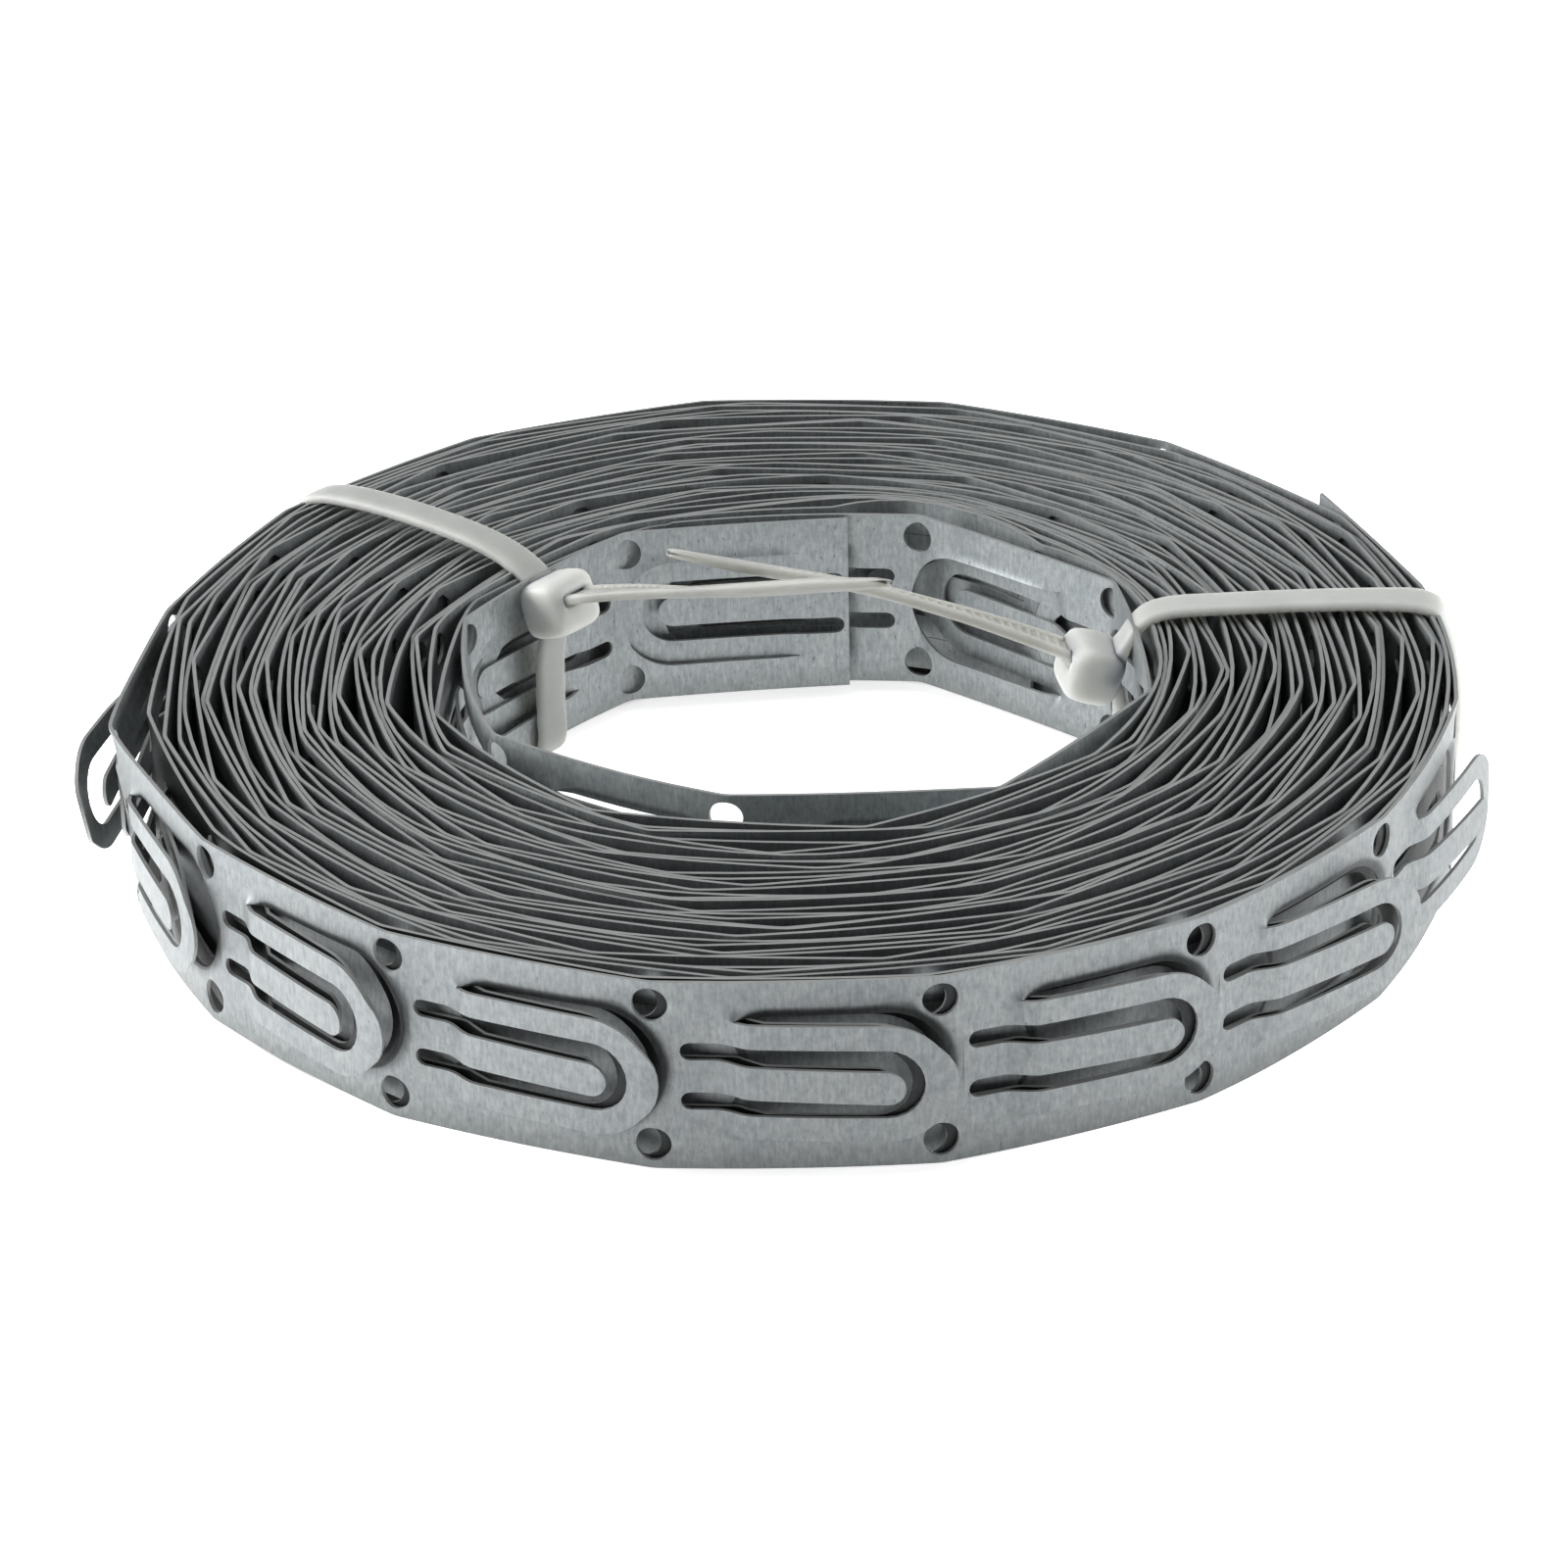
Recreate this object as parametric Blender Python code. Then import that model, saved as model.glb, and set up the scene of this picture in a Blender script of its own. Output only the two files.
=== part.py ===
# Cable fixing strip: a 10 m class roll of punched galvanised strip, tied in two places.
#
# Three pieces, each one closed solid:
#   strip_coil       the wound strip: one turned solid with its bore, the turns standing
#                    as thin edges on both ends, the punched outer turn on its rim
#   cable_tie_left   moulded tie round the roll's section, back left
#   cable_tie_right  the second tie, right
#
# Metres, +Z up. The roll lies flat on the two straps that pass under it, and its axis
# is upright. The origin is under the middle of the whole part, at its lowest point.
# The drawing units below are millimetres.

import bpy
import bmesh
import math
from mathutils import Vector

for ob in list(bpy.data.objects):
    bpy.data.objects.remove(ob, do_unlink=True)

MM = 0.001

# ------------------------------------------------------------------ strip
STRIP_W = 18.3            # width of the strip, which is the roll's height
STRIP_T = 0.35            # sheet thickness
PITCH = 25.0              # one clip, hole line to hole line
HOLE_R = 1.6              # nail holes, two on each hole line
HOLE_V = 6.85             # their distance from the strip's middle
SLOT_START = 2.5          # rounded start of the two slot legs, from the hole line
SLOT_OUT = 3.28           # slot's outer edge, from the strip's middle
TONGUE_R = 1.57           # half width and tip radius of the inner tongue
LOOP_R = 5.58             # half width and tip radius of the outer loop
BEND_U = 7.5              # bend line of both tongues
TIP_U = 20.2              # centre of the round tips

# ------------------------------------------------------------------ winding
TURN_SIDES = 16           # facets in a turn: the outer turn has one for each clip
HOLE_AZ = 212.49          # azimuth of a hole line on the outer turn, degrees
HOLE_STEP = 22.9356       # azimuth from one hole line to the next
END_AZ = 34.0             # outer end of the strip
INNER_END_AZ = 79.0       # inner end of the strip
TURNS_BACK = 32           # full turns below the outer one
R_START = 32.6            # centre line of the strip at the inner end
R_FINISH = 62.45          # centre line at the outer end
TAIL_LIFT = 1.5           # how far the outer end has sprung off the roll
GROOVE = 1.5              # depth of the gaps between the turns' edges
Z0 = 1.4                  # lower edge of the strip: strap plus clearance
AXIS_X, AXIS_Y = 0.45, 0.10  # the roll's axis: centres the whole part on the origin

# Kinks of the innermost turn, which hangs loose at the front (x, y).
INNER_KINKS = [(6.2, 31.8), (-16.8, 31.4), (-31.1, 11.2), (-27.4, -13.9),
               (-6.1, -26.7), (18.5, -26.2), (33.2, -7.6), (30.9, 17.0), (12.0, 32.6)]

# ------------------------------------------------------------------ cable ties
STRAP_W = 3.6
STRAP_T = 1.1
CLEAR = 0.3               # gap between a tie and the roll
HEAD_W = 6.0              # across the strap
HEAD_D = 5.3              # along the slot
HEAD_H = 5.8


def material(name, colour, roughness, metallic=0.0):
    mat = bpy.data.materials.new(name)
    mat.use_nodes = True
    bsdf = mat.node_tree.nodes["Principled BSDF"]
    bsdf.inputs["Base Color"].default_value = (*colour, 1.0)
    bsdf.inputs["Roughness"].default_value = roughness
    bsdf.inputs["Metallic"].default_value = metallic
    return mat


def add_object(name, bm, mat=None, helper=False):
    """Turn a bmesh drawn in millimetres into an object in metres."""
    bmesh.ops.recalc_face_normals(bm, faces=bm.faces[:])
    bmesh.ops.scale(bm, vec=(MM, MM, MM), verts=bm.verts[:])
    mesh = bpy.data.meshes.new(name)
    bm.to_mesh(mesh)
    bm.free()
    ob = bpy.data.objects.new(name, mesh)
    bpy.context.scene.collection.objects.link(ob)
    if mat:
        mesh.materials.append(mat)
    if helper:
        ob.hide_render = True
        ob.display_type = 'WIRE'
    return ob


def boolean(ob, operation, other):
    mod = ob.modifiers.new(operation.lower(), 'BOOLEAN')
    mod.operation = operation
    mod.solver = 'EXACT'
    mod.object = other


def polar(az_deg, r):
    a = math.radians(az_deg)
    return AXIS_X + r * math.cos(a), AXIS_Y + r * math.sin(a)


def ray_radius(az_deg, points):
    """Radius at which a ray from the axis meets an open polygon."""
    a = math.radians(az_deg)
    dx, dy = math.cos(a), math.sin(a)
    hits = []
    for (x1, y1), (x2, y2) in zip(points, points[1:]):
        den = dx * (y2 - y1) - dy * (x2 - x1)
        if abs(den) < 1e-9:
            continue
        t = (x1 * (y2 - y1) - y1 * (x2 - x1)) / den
        s = (x1 * dy - y1 * dx) / den
        if t > 0 and -1e-6 <= s <= 1 + 1e-6:
            hits.append(t)
    return max(hits) if hits else None


# ------------------------------------------------------------------ the winding
# Sections run from the inner end (0) to the outer end (LAST). Every turn has its
# corners at the same azimuths, so no facet runs into the next turn.
LAST = TURN_SIDES * TURNS_BACK + 14


def section_azimuth(m):
    back = LAST - m
    turn, j = divmod(back, TURN_SIDES)
    end_line = HOLE_AZ + 8 * HOLE_STEP - 360.0      # the hole line nearest the outer end
    az = end_line - j * HOLE_STEP - 360.0 * turn
    if j == 14:                                      # drifts to the inner end's azimuth
        az += (INNER_END_AZ - (az % 360.0)) * turn / TURNS_BACK
    return END_AZ if m == LAST else az


AZ = [section_azimuth(m) for m in range(LAST + 1)]


def section_radius(m):
    share = (AZ[m] - AZ[0]) / (AZ[LAST] - AZ[0])
    return R_START + (R_FINISH - R_START) * share


RAD = [section_radius(m) for m in range(LAST + 1)]
RAD[LAST] += TAIL_LIFT
for m in range(TURN_SIDES):                          # the loose innermost turn
    loose = ray_radius(AZ[m], INNER_KINKS)
    if loose is not None:
        RAD[m] = min(loose, RAD[m + TURN_SIDES] - 0.75)


def build_roll():
    bm = bmesh.new()
    top, low = Z0 + STRIP_W, Z0
    inner_t, outer_t, inner_b, outer_b = [], [], [], []
    for m in range(LAST + 1):
        xi, yi = polar(AZ[m], RAD[m] - STRIP_T / 2)
        xo, yo = polar(AZ[m], RAD[m] + STRIP_T / 2)
        inner_t.append(bm.verts.new((xi, yi, top)))
        outer_t.append(bm.verts.new((xo, yo, top)))
        inner_b.append(bm.verts.new((xi, yi, low)))
        outer_b.append(bm.verts.new((xo, yo, low)))
    vee_t, vee_b = [], []
    for m in range(LAST + 1 - TURN_SIDES):
        a = outer_t[m].co
        b = inner_t[m + TURN_SIDES].co
        mid = (a + b) / 2
        vee_t.append(bm.verts.new((mid.x, mid.y, top - GROOVE)))
        vee_b.append(bm.verts.new((mid.x, mid.y, low + GROOVE)))

    def quad(a, b, c, d):
        bm.faces.new((a, b, c, d))

    for m in range(LAST):
        n = m + 1
        quad(inner_t[m], outer_t[m], outer_t[n], inner_t[n])
        quad(inner_b[n], outer_b[n], outer_b[m], inner_b[m])
        if m < TURN_SIDES:                            # bore wall
            quad(inner_b[m], inner_t[m], inner_t[n], inner_b[n])
        if m >= LAST - TURN_SIDES:                    # rim
            quad(outer_t[m], outer_b[m], outer_b[n], outer_t[n])
        else:                                         # gap to the next turn
            p = m + TURN_SIDES
            quad(outer_t[m], vee_t[m], vee_t[n], outer_t[n])
            quad(vee_t[m], inner_t[p], inner_t[p + 1], vee_t[n])
            quad(outer_b[n], vee_b[n], vee_b[m], outer_b[m])
            quad(vee_b[n], inner_b[p + 1], inner_b[p], vee_b[m])
    s = TURN_SIDES
    bm.faces.new((inner_b[0], inner_t[0], outer_t[0], vee_t[0],
                  inner_t[s], inner_b[s], vee_b[0], outer_b[0]))
    e = LAST - s
    bm.faces.new((outer_b[LAST], outer_t[LAST], inner_t[LAST], vee_t[e],
                  outer_t[e], outer_b[e], vee_b[e], inner_b[LAST]))
    bmesh.ops.triangulate(bm, faces=[f for f in bm.faces if len(f.verts) > 4])
    return bm


# ------------------------------------------------------------------ clips on the rim
def rim_point(i):
    """Outer face of the strip on hole line i."""
    m = LAST - 8 + i
    return Vector((*polar(AZ[m], RAD[m] + STRIP_T / 2), 0))


def rim_frame(i):
    """Corner, direction along the strip, outward normal and length of rim facet i."""
    a, b = rim_point(i), rim_point(i + 1)
    along = (b - a).normalized()
    return a, along, Vector((along.y, -along.x, 0)), (b - a).length


def place(frame, u, v, h):
    a, along, out, _ = frame
    p = a + along * u + out * h
    return (p.x, p.y, Z0 + STRIP_W / 2 + v)


def arc(cu, cv, r, start, end, steps):
    return [(cu + r * math.cos(math.radians(start + (end - start) * k / steps)),
             cv + r * math.sin(math.radians(start + (end - start) * k / steps)))
            for k in range(steps + 1)]


def prism(bm, frame, outline, low, high):
    bottom = [bm.verts.new(place(frame, u, v, low)) for u, v in outline]
    topv = [bm.verts.new(place(frame, u, v, high)) for u, v in outline]
    bm.faces.new(bottom)
    bm.faces.new(topv[::-1])
    n = len(outline)
    for k in range(n):
        bm.faces.new((bottom[k], topv[k], topv[(k + 1) % n], bottom[(k + 1) % n]))


def window_outline():
    """What the loop and tongue leave open when they are raised, with both slot legs."""
    w = LOOP_R + 0.04
    rc = (SLOT_OUT - TONGUE_R) / 2
    mid = (SLOT_OUT + TONGUE_R) / 2
    pts = arc(TIP_U, 0, w, -90, 90, 8)
    pts += [(BEND_U, w), (BEND_U, SLOT_OUT)]
    pts += arc(SLOT_START + rc, mid, rc, 90, 270, 3)
    pts += [(BEND_U, TONGUE_R), (BEND_U, -TONGUE_R)]
    pts += arc(SLOT_START + rc, -mid, rc, 90, 270, 3)
    pts += [(BEND_U, -SLOT_OUT), (BEND_U, -w)]
    return pts


def ribbon(bm, frame, stations):
    """Closed band through stations of (outer point, inner point, low, high)."""
    rings = []
    for (ou, ov), (iu, iv), low, high in stations:
        rings.append([bm.verts.new(place(frame, ou, ov, low)),
                      bm.verts.new(place(frame, ou, ov, high)),
                      bm.verts.new(place(frame, iu, iv, high)),
                      bm.verts.new(place(frame, iu, iv, low))])
    for r1, r2 in zip(rings, rings[1:]):
        for k in range(4):
            bm.faces.new((r1[k], r1[(k + 1) % 4], r2[(k + 1) % 4], r2[k]))
    bm.faces.new(rings[0])
    bm.faces.new(rings[-1][::-1])


SHEET = STRIP_T - 0.03


JOGGLE_U = 8.9            # end of the step at the tongues' root


def levels(u, rise, step, tip_u):
    """Under and upper side of a raised tongue at u. Its root sinks into the strip, a step
    lifts it off, and from there it rises evenly to its tip."""
    if u < BEND_U:
        return -0.12 - SHEET, -0.12
    if u < JOGGLE_U:
        h = 0.10 + (step - 0.10) * (u - BEND_U) / (JOGGLE_U - BEND_U)
    else:
        h = step + (rise - step) * (u - JOGGLE_U) / (tip_u - JOGGLE_U)
    return h - SHEET, h


def loop_band(bm, frame, rise):
    ro, ri = LOOP_R - 0.1, SLOT_OUT + 0.02
    bend = BEND_U + 0.2
    line = [((BEND_U - 0.7, -ro), (BEND_U - 0.7, -ri)), ((bend, -ro), (bend, -ri))]
    line += [((JOGGLE_U, -ro), (JOGGLE_U, -ri))]
    line += list(zip(arc(TIP_U, 0, ro, -90, 90, 8), arc(TIP_U, 0, ri, -90, 90, 8)))
    line += [((JOGGLE_U, ro), (JOGGLE_U, ri))]
    line += [((bend, ro), (bend, ri)), ((BEND_U - 0.7, ro), (BEND_U - 0.7, ri))]
    stations = []
    step = min(1.2, 0.62 * rise)
    for o, i in line:
        low, high = levels((o[0] + i[0]) / 2, rise, step, TIP_U + LOOP_R)
        stations.append((o, i, low, high))
    ribbon(bm, frame, stations)


def inner_tongue(bm, frame, rise):
    w = TONGUE_R - 0.02
    stations = []
    step = min(1.4, 0.62 * rise)
    for u, half in ((BEND_U - 0.7, w), (BEND_U + 0.2, w), (JOGGLE_U, w), (TIP_U, w),
                    (TIP_U + w * 0.7, w * 0.71), (TIP_U + w * 0.98, w * 0.2)):
        low, high = levels(u, rise, step, TIP_U + TONGUE_R)
        stations.append(((u, -half), (u, half), low, high))
    ribbon(bm, frame, stations)


# Rise of loop and tongue tips of each clip round the rim. The clips under the two
# ties lie flat, held down by the straps.
RISE = {-7: (1.9, 2.3), -6: (2.3, 2.7), -5: (1.9, 2.4), -3: (1.9, 2.2), -2: (4.6, 2.7),
        -1: (2.3, 2.6), 0: (2.6, 2.85), 1: (1.85, 2.35), 2: (2.35, 2.9), 3: (1.95, 2.5),
        4: (3.45, 3.5), 5: (3.2, 3.6), 7: (1.7, 2.0)}
CLIPS = sorted(RISE)[:-1]

cuts = bmesh.new()
raised = bmesh.new()
for i in CLIPS:
    frame = rim_frame(i)
    prism(cuts, frame, window_outline(), -STRIP_T, 6.0)
    loop_band(raised, frame, RISE[i][0])
    inner_tongue(raised, frame, RISE[i][1])

holes = bmesh.new()
for i in range(-7, 8):
    centre = rim_point(i)
    rad = (centre - Vector((AXIS_X, AXIS_Y, 0))).normalized()
    frame = (centre, Vector((-rad.y, rad.x, 0)), rad, 0)
    for side in (-1, 1):
        outline = [(HOLE_R * math.cos(math.radians(22.5 + 45 * k)),
                    side * HOLE_V + HOLE_R * math.sin(math.radians(22.5 + 45 * k)))
                   for k in range(8)]
        prism(holes, frame, outline, -0.75, 2.0)

# Gap behind the loose innermost turn, right through the roll.
gap = bmesh.new()
first, last = 4, 10
near = [polar(AZ[m], RAD[m] + STRIP_T / 2 + 0.12) for m in range(first, last + 1)]
far = [polar(AZ[m], RAD[m + TURN_SIDES] - STRIP_T / 2 - 0.12) for m in range(last, first - 1, -1)]
ring = near + far
lowv = [gap.verts.new((x, y, Z0 - 2)) for x, y in ring]
topv = [gap.verts.new((x, y, Z0 + STRIP_W + 2)) for x, y in ring]
gap.faces.new(lowv)
gap.faces.new(topv[::-1])
for k in range(len(ring)):
    n = (k + 1) % len(ring)
    gap.faces.new((lowv[k], topv[k], topv[n], lowv[n]))

zinc = material("galvanised", (0.28, 0.295, 0.30), 0.43, 0.9)
nylon = material("nylon_natural", (0.42, 0.425, 0.40), 0.48)

roll = add_object("strip_coil", build_roll(), zinc)
boolean(roll, 'DIFFERENCE', add_object("clip_windows_cutter", cuts, helper=True))
boolean(roll, 'DIFFERENCE', add_object("nail_holes_cutter", holes, helper=True))
boolean(roll, 'UNION', add_object("raised_clips_helper", raised, helper=True))
boolean(roll, 'DIFFERENCE', add_object("inner_gap_cutter", gap, helper=True))


# ------------------------------------------------------------------ cable ties
def smooth(points, steps):
    """Centripetal-free Catmull-Rom curve through points."""
    out = []
    for k in range(len(points) - 1):
        p0 = Vector(points[max(k - 1, 0)])
        p1, p2 = Vector(points[k]), Vector(points[k + 1])
        p3 = Vector(points[min(k + 2, len(points) - 1)])
        for j in range(steps):
            t = j / steps
            out.append(0.5 * ((2 * p1) + (p2 - p0) * t + (2 * p0 - 5 * p1 + 4 * p2 - p3) * t * t
                              + (3 * p1 - p0 - 3 * p2 + p3) * t ** 3))
    out.append(Vector(points[-1]))
    return out


def corner(cs, cz, r, start, end, steps=4):
    return [(cs + r * math.cos(math.radians(start + (end - start) * k / steps)),
             cz + r * math.sin(math.radians(start + (end - start) * k / steps)))
            for k in range(steps + 1)]


class TiePlane:
    """Upright plane of a tie: s runs outwards from origin along az, w across, z up."""

    def __init__(self, az, offset):
        a = math.radians(az)
        self.out = Vector((math.cos(a), math.sin(a), 0))
        self.side = Vector((-math.sin(a), math.cos(a), 0))
        self.base = Vector((AXIS_X, AXIS_Y, 0)) + self.side * offset

    def at(self, s, w, z):
        return self.base + self.out * s + self.side * w + Vector((0, 0, z))

    def reach(self, sections, sign):
        """Furthest (sign 1) or nearest (-1) s of a chain of sections under the strap."""
        found = []
        pts = [Vector((*polar(AZ[m], RAD[m] + sign * STRIP_T / 2), 0)) - self.base for m in sections]
        for p, q in zip(pts, pts[1:]):
            for k in range(41):
                c = p.lerp(q, k / 40)
                if abs(c.dot(self.side)) <= STRAP_W / 2 + 0.2 and c.dot(self.out) > 0:
                    found.append(c.dot(self.out))
        return max(found) if sign > 0 else min(found)


def tie(name, plane, bow, belly, head_z, tail):
    s_in = plane.reach(range(0, TURN_SIDES + 1), -1) - CLEAR - STRAP_T / 2
    s_out = plane.reach(range(LAST - TURN_SIDES, LAST + 1), 1) + CLEAR + STRAP_T / 2
    z_low = STRAP_T / 2
    z_top = Z0 + STRIP_W + CLEAR + STRAP_T / 2
    r = 1.1
    head_s = s_in + STRAP_T / 2 - HEAD_D / 2
    path = [(s_in, head_z - HEAD_H / 2 + 1.0)]
    path += corner(s_in + r, z_low + r, r, 180, 270)
    path += corner(s_out - r, z_low + r, r, 270, 360)
    span = s_out - s_in
    over = [(s_out + 0.7 * belly, 5.0), (s_out + belly, 10.0), (s_out + 0.6 * belly, 14.5),
            (s_out, z_top - 3.2), (s_out - 0.25, z_top - 1.0), (s_out - 1.3, z_top + 0.05)]
    over += [(s_out - span * f, z_top + bow * math.sin(math.pi * f)) for f in (0.2, 0.4, 0.6, 0.8)]
    over += [(s_in + 1.6, z_top + 0.15), (s_in + 0.1, z_top - 0.15),
             (s_in - 1.1, z_top - 0.95), (head_s, head_z + 2.3)]
    path += [tuple(p) for p in smooth(over, 3)]
    path += [tuple(p) for p in smooth([over[-1]] + tail, 3)[1:]]
    total = len(path)
    bm = bmesh.new()
    rings = []
    for k, (s, z) in enumerate(path):
        before = Vector(path[max(k - 1, 0)])
        after = Vector(path[min(k + 1, total - 1)])
        d = (after - before).normalized()
        normal = Vector((-d.y, d.x))
        half_w = STRAP_W / 2
        half_t = STRAP_T / 2
        if k == total - 1:
            half_w, half_t = 0.5, 0.4
        elif k == total - 2:
            half_w, half_t = 1.5, 0.5
        rings.append([bm.verts.new(plane.at(s + normal.x * t, w, z + normal.y * t))
                      for w, t in ((-half_w, -half_t), (half_w, -half_t), (half_w, half_t), (-half_w, half_t))])
    for r1, r2 in zip(rings, rings[1:]):
        for k in range(4):
            bm.faces.new((r1[k], r1[(k + 1) % 4], r2[(k + 1) % 4], r2[k]))
    bm.faces.new(rings[0])
    bm.faces.new(rings[-1][::-1])
    ob = add_object(name, bm, nylon)

    block = bmesh.new()
    corners = []
    for s in (-HEAD_D / 2, HEAD_D / 2):
        for w in (-HEAD_W / 2, HEAD_W / 2):
            for z in (-HEAD_H / 2, HEAD_H / 2):
                corners.append(block.verts.new(plane.at(head_s - 0.05 + s, w, head_z + z)))
    for f in ((0, 1, 3, 2), (4, 6, 7, 5), (0, 4, 5, 1), (2, 3, 7, 6), (0, 2, 6, 4), (1, 5, 7, 3)):
        block.faces.new([corners[k] for k in f])
    bmesh.ops.bevel(block, geom=block.edges[:], offset=0.9, segments=2, profile=0.5, affect='EDGES')
    boolean(ob, 'UNION', add_object(name + "_head_helper", block, helper=True))
    return ob


tie("cable_tie_left", TiePlane(139.8, 0.0), 1.0, 0.2, 17.3,
    [(23.5, 20.0), (12.8, 22.9), (6.0, 24.9), (-12.0, 31.4)])
tie("cable_tie_right", TiePlane(2.17, 6.63), 0.5, 1.3, 14.8,
    [(24.6, 17.4), (14.4, 21.7), (0.5, 26.2), (-11.0, 28.9)])
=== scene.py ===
import math

import bmesh
import bpy
import numpy as np
from mathutils import Matrix, Vector
from mathutils.geometry import delaunay_2d_cdt


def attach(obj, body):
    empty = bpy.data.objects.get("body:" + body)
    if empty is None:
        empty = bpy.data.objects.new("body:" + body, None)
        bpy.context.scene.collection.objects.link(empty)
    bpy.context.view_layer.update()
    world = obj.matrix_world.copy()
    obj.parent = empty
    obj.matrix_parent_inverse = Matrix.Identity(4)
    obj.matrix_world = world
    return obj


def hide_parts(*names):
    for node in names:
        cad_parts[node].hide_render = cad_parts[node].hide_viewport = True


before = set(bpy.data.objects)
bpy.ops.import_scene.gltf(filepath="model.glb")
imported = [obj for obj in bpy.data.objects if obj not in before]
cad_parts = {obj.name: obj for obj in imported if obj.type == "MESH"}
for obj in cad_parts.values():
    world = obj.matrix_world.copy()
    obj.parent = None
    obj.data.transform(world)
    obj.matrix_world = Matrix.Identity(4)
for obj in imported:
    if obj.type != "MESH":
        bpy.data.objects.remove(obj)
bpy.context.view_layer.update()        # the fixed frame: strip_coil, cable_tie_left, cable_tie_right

# The looks of a tied roll of punched galvanised strip. Lengths are in millimetres until
# a mesh is made; the frame is in metres, +Z up, the origin under the middle of the roll.
MM = 0.001

# ------------------------------------------------------------------ shared sizes
STRIP_W = 18.3
STRIP_T = 0.35
PITCH = 25.0
HOLE_R = 1.6
HOLE_V = 6.85
SLOT_START = 2.5
SLOT_OUT = 3.28
TONGUE_R = 1.57
LOOP_R = 5.58
TIP_U = 20.2
Z0 = 1.4
Z_MID = Z0 + STRIP_W / 2
AXIS = np.array([0.45, 0.10])

HOLE_AZ = 212.49
HOLE_STEP = 22.9356
INNER_AZ = 79.0              # azimuth of the strip's inner end
TURNS = 33
OUTER_PHI = 360.0 * TURNS - 45.0


def hash01(i, k=0):
    """A fixed, evenly spread number in 0..1 for each pair of whole numbers."""
    x = math.sin(i * 12.9898 + k * 78.233 + 4.1) * 43758.5453
    return x - math.floor(x)


def hash11(i, k=0):
    return 2.0 * hash01(i, k) - 1.0


def ease(x):
    x = np.clip(x, 0.0, 1.0)
    return x * x * (3.0 - 2.0 * x)


# ------------------------------------------------------------------ camera
def make_camera():
    pitch, yaw, roll = (math.radians(a) for a in (27.2627, -0.1595, -1.2137))
    fwd = Vector((math.sin(yaw) * math.cos(pitch), math.cos(yaw) * math.cos(pitch), -math.sin(pitch)))
    right = Vector((math.cos(yaw), -math.sin(yaw), 0.0))
    up = right.cross(fwd)
    r2 = right * math.cos(roll) + up * math.sin(roll)
    u2 = -right * math.sin(roll) + up * math.cos(roll)
    data = bpy.data.cameras.new("photo_camera")
    data.sensor_width = 36.0
    data.sensor_fit = 'HORIZONTAL'
    data.lens = 134.0741
    data.clip_start = 0.05
    data.clip_end = 20.0
    cam = bpy.data.objects.new("photo_camera", data)
    m = Matrix((r2, u2, -fwd)).transposed().to_4x4()
    m.translation = Vector((0.957, -492.645, 260.721)) * MM
    cam.matrix_world = m
    bpy.context.scene.collection.objects.link(cam)
    bpy.context.scene.camera = cam


make_camera()


# ------------------------------------------------------------------ the winding
# The strip bends almost only on its hole lines, its weak places, so each turn is a
# chain of nearly straight clips. The chain is laid clip by clip from the inner end,
# and each clip is pushed clear of the turn below it.
STEP = 1.0                                  # degrees between the samples of a turn
SAMPLES = int(OUTER_PHI / STEP) + 420
CLEAR = STRIP_T + 0.05                      # least distance between two turns' middles

BORE_CLIP = 2.1                             # how far that clip's loop stands out
INNER_HINGES = [(6.5, 32.0), (-16.1, 29.6), (-31.0, 10.9), (-27.4, -13.8), (-6.1, -26.9),
                (18.6, -26.4), (33.3, -7.4), (31.3, 16.4), (13.0, 32.6)]


def mean_radius(phi):
    """Middle radius that the winding follows, a little flattened on the left side.
    Turns lie by twos and threes with wider gaps between, so it swings from turn to turn."""
    share = phi / OUTER_PHI
    r = 33.0 + 30.0 * share
    d = (INNER_AZ + phi - 187.0 + 180.0) % 360.0 - 180.0
    left = math.exp(-(d / 29.0) ** 2)
    turns = phi / 360.0
    swing = 0.30 * math.sin(2.0 * math.pi * (0.41 * turns + 0.05 * math.sin(turns * 1.7)))
    swing *= float(ease((turns - 1.5) / 1.5)) * float(ease((31.6 - turns) / 1.0))
    return r + swing - (1.8 - 0.5 * float(ease((share - 0.93) / 0.04))) * left * float(ease((share - 0.25) / 0.5))


def over_bore_clip(phi):
    """Room that the raised loop of the last bore clip needs under the second turn."""
    (a0, _), (a1, _) = HINGES_IN[-2], HINGES_IN[-1]
    u = (np.asarray(phi) - a0) / (a1 - a0) * PITCH
    return np.where((u > 5.5) & (u < 34.0), BORE_CLIP * ease((u - 5.5) / 11.0) * (1 - ease((u - 27.0) / 7.0)), 0.0)


def under_outer(phi):
    """Highest radius for the turn that lies against the outer turn's inside."""
    ahead = phi + 360.0 - PHI_FIRST
    if ahead < 0.0:
        return 1e9
    k = int(ahead // HOLE_STEP)
    if k >= LINE_LAST - LINE_FIRST:
        return 1e9
    a = ahead - k * HOLE_STEP
    t = a / HOLE_STEP
    r = float(chord_radius(a, 0.0, outer_r(LINE_FIRST + k), HOLE_STEP, outer_r(LINE_FIRST + k + 1)))
    return r + 0.36 * 1.25 * 4 * t * (1 - t) - CLEAR - 0.02


def chord_radius(phi, p0, r0, p1, r1):
    a0, a1, a = np.radians(p0), np.radians(p1), np.radians(phi)
    x0, y0, x1, y1 = r0 * np.cos(a0), r0 * np.sin(a0), r1 * np.cos(a1), r1 * np.sin(a1)
    return (x0 * (y1 - y0) - y0 * (x1 - x0)) / (np.cos(a) * (y1 - y0) - np.sin(a) * (x1 - x0))


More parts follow.
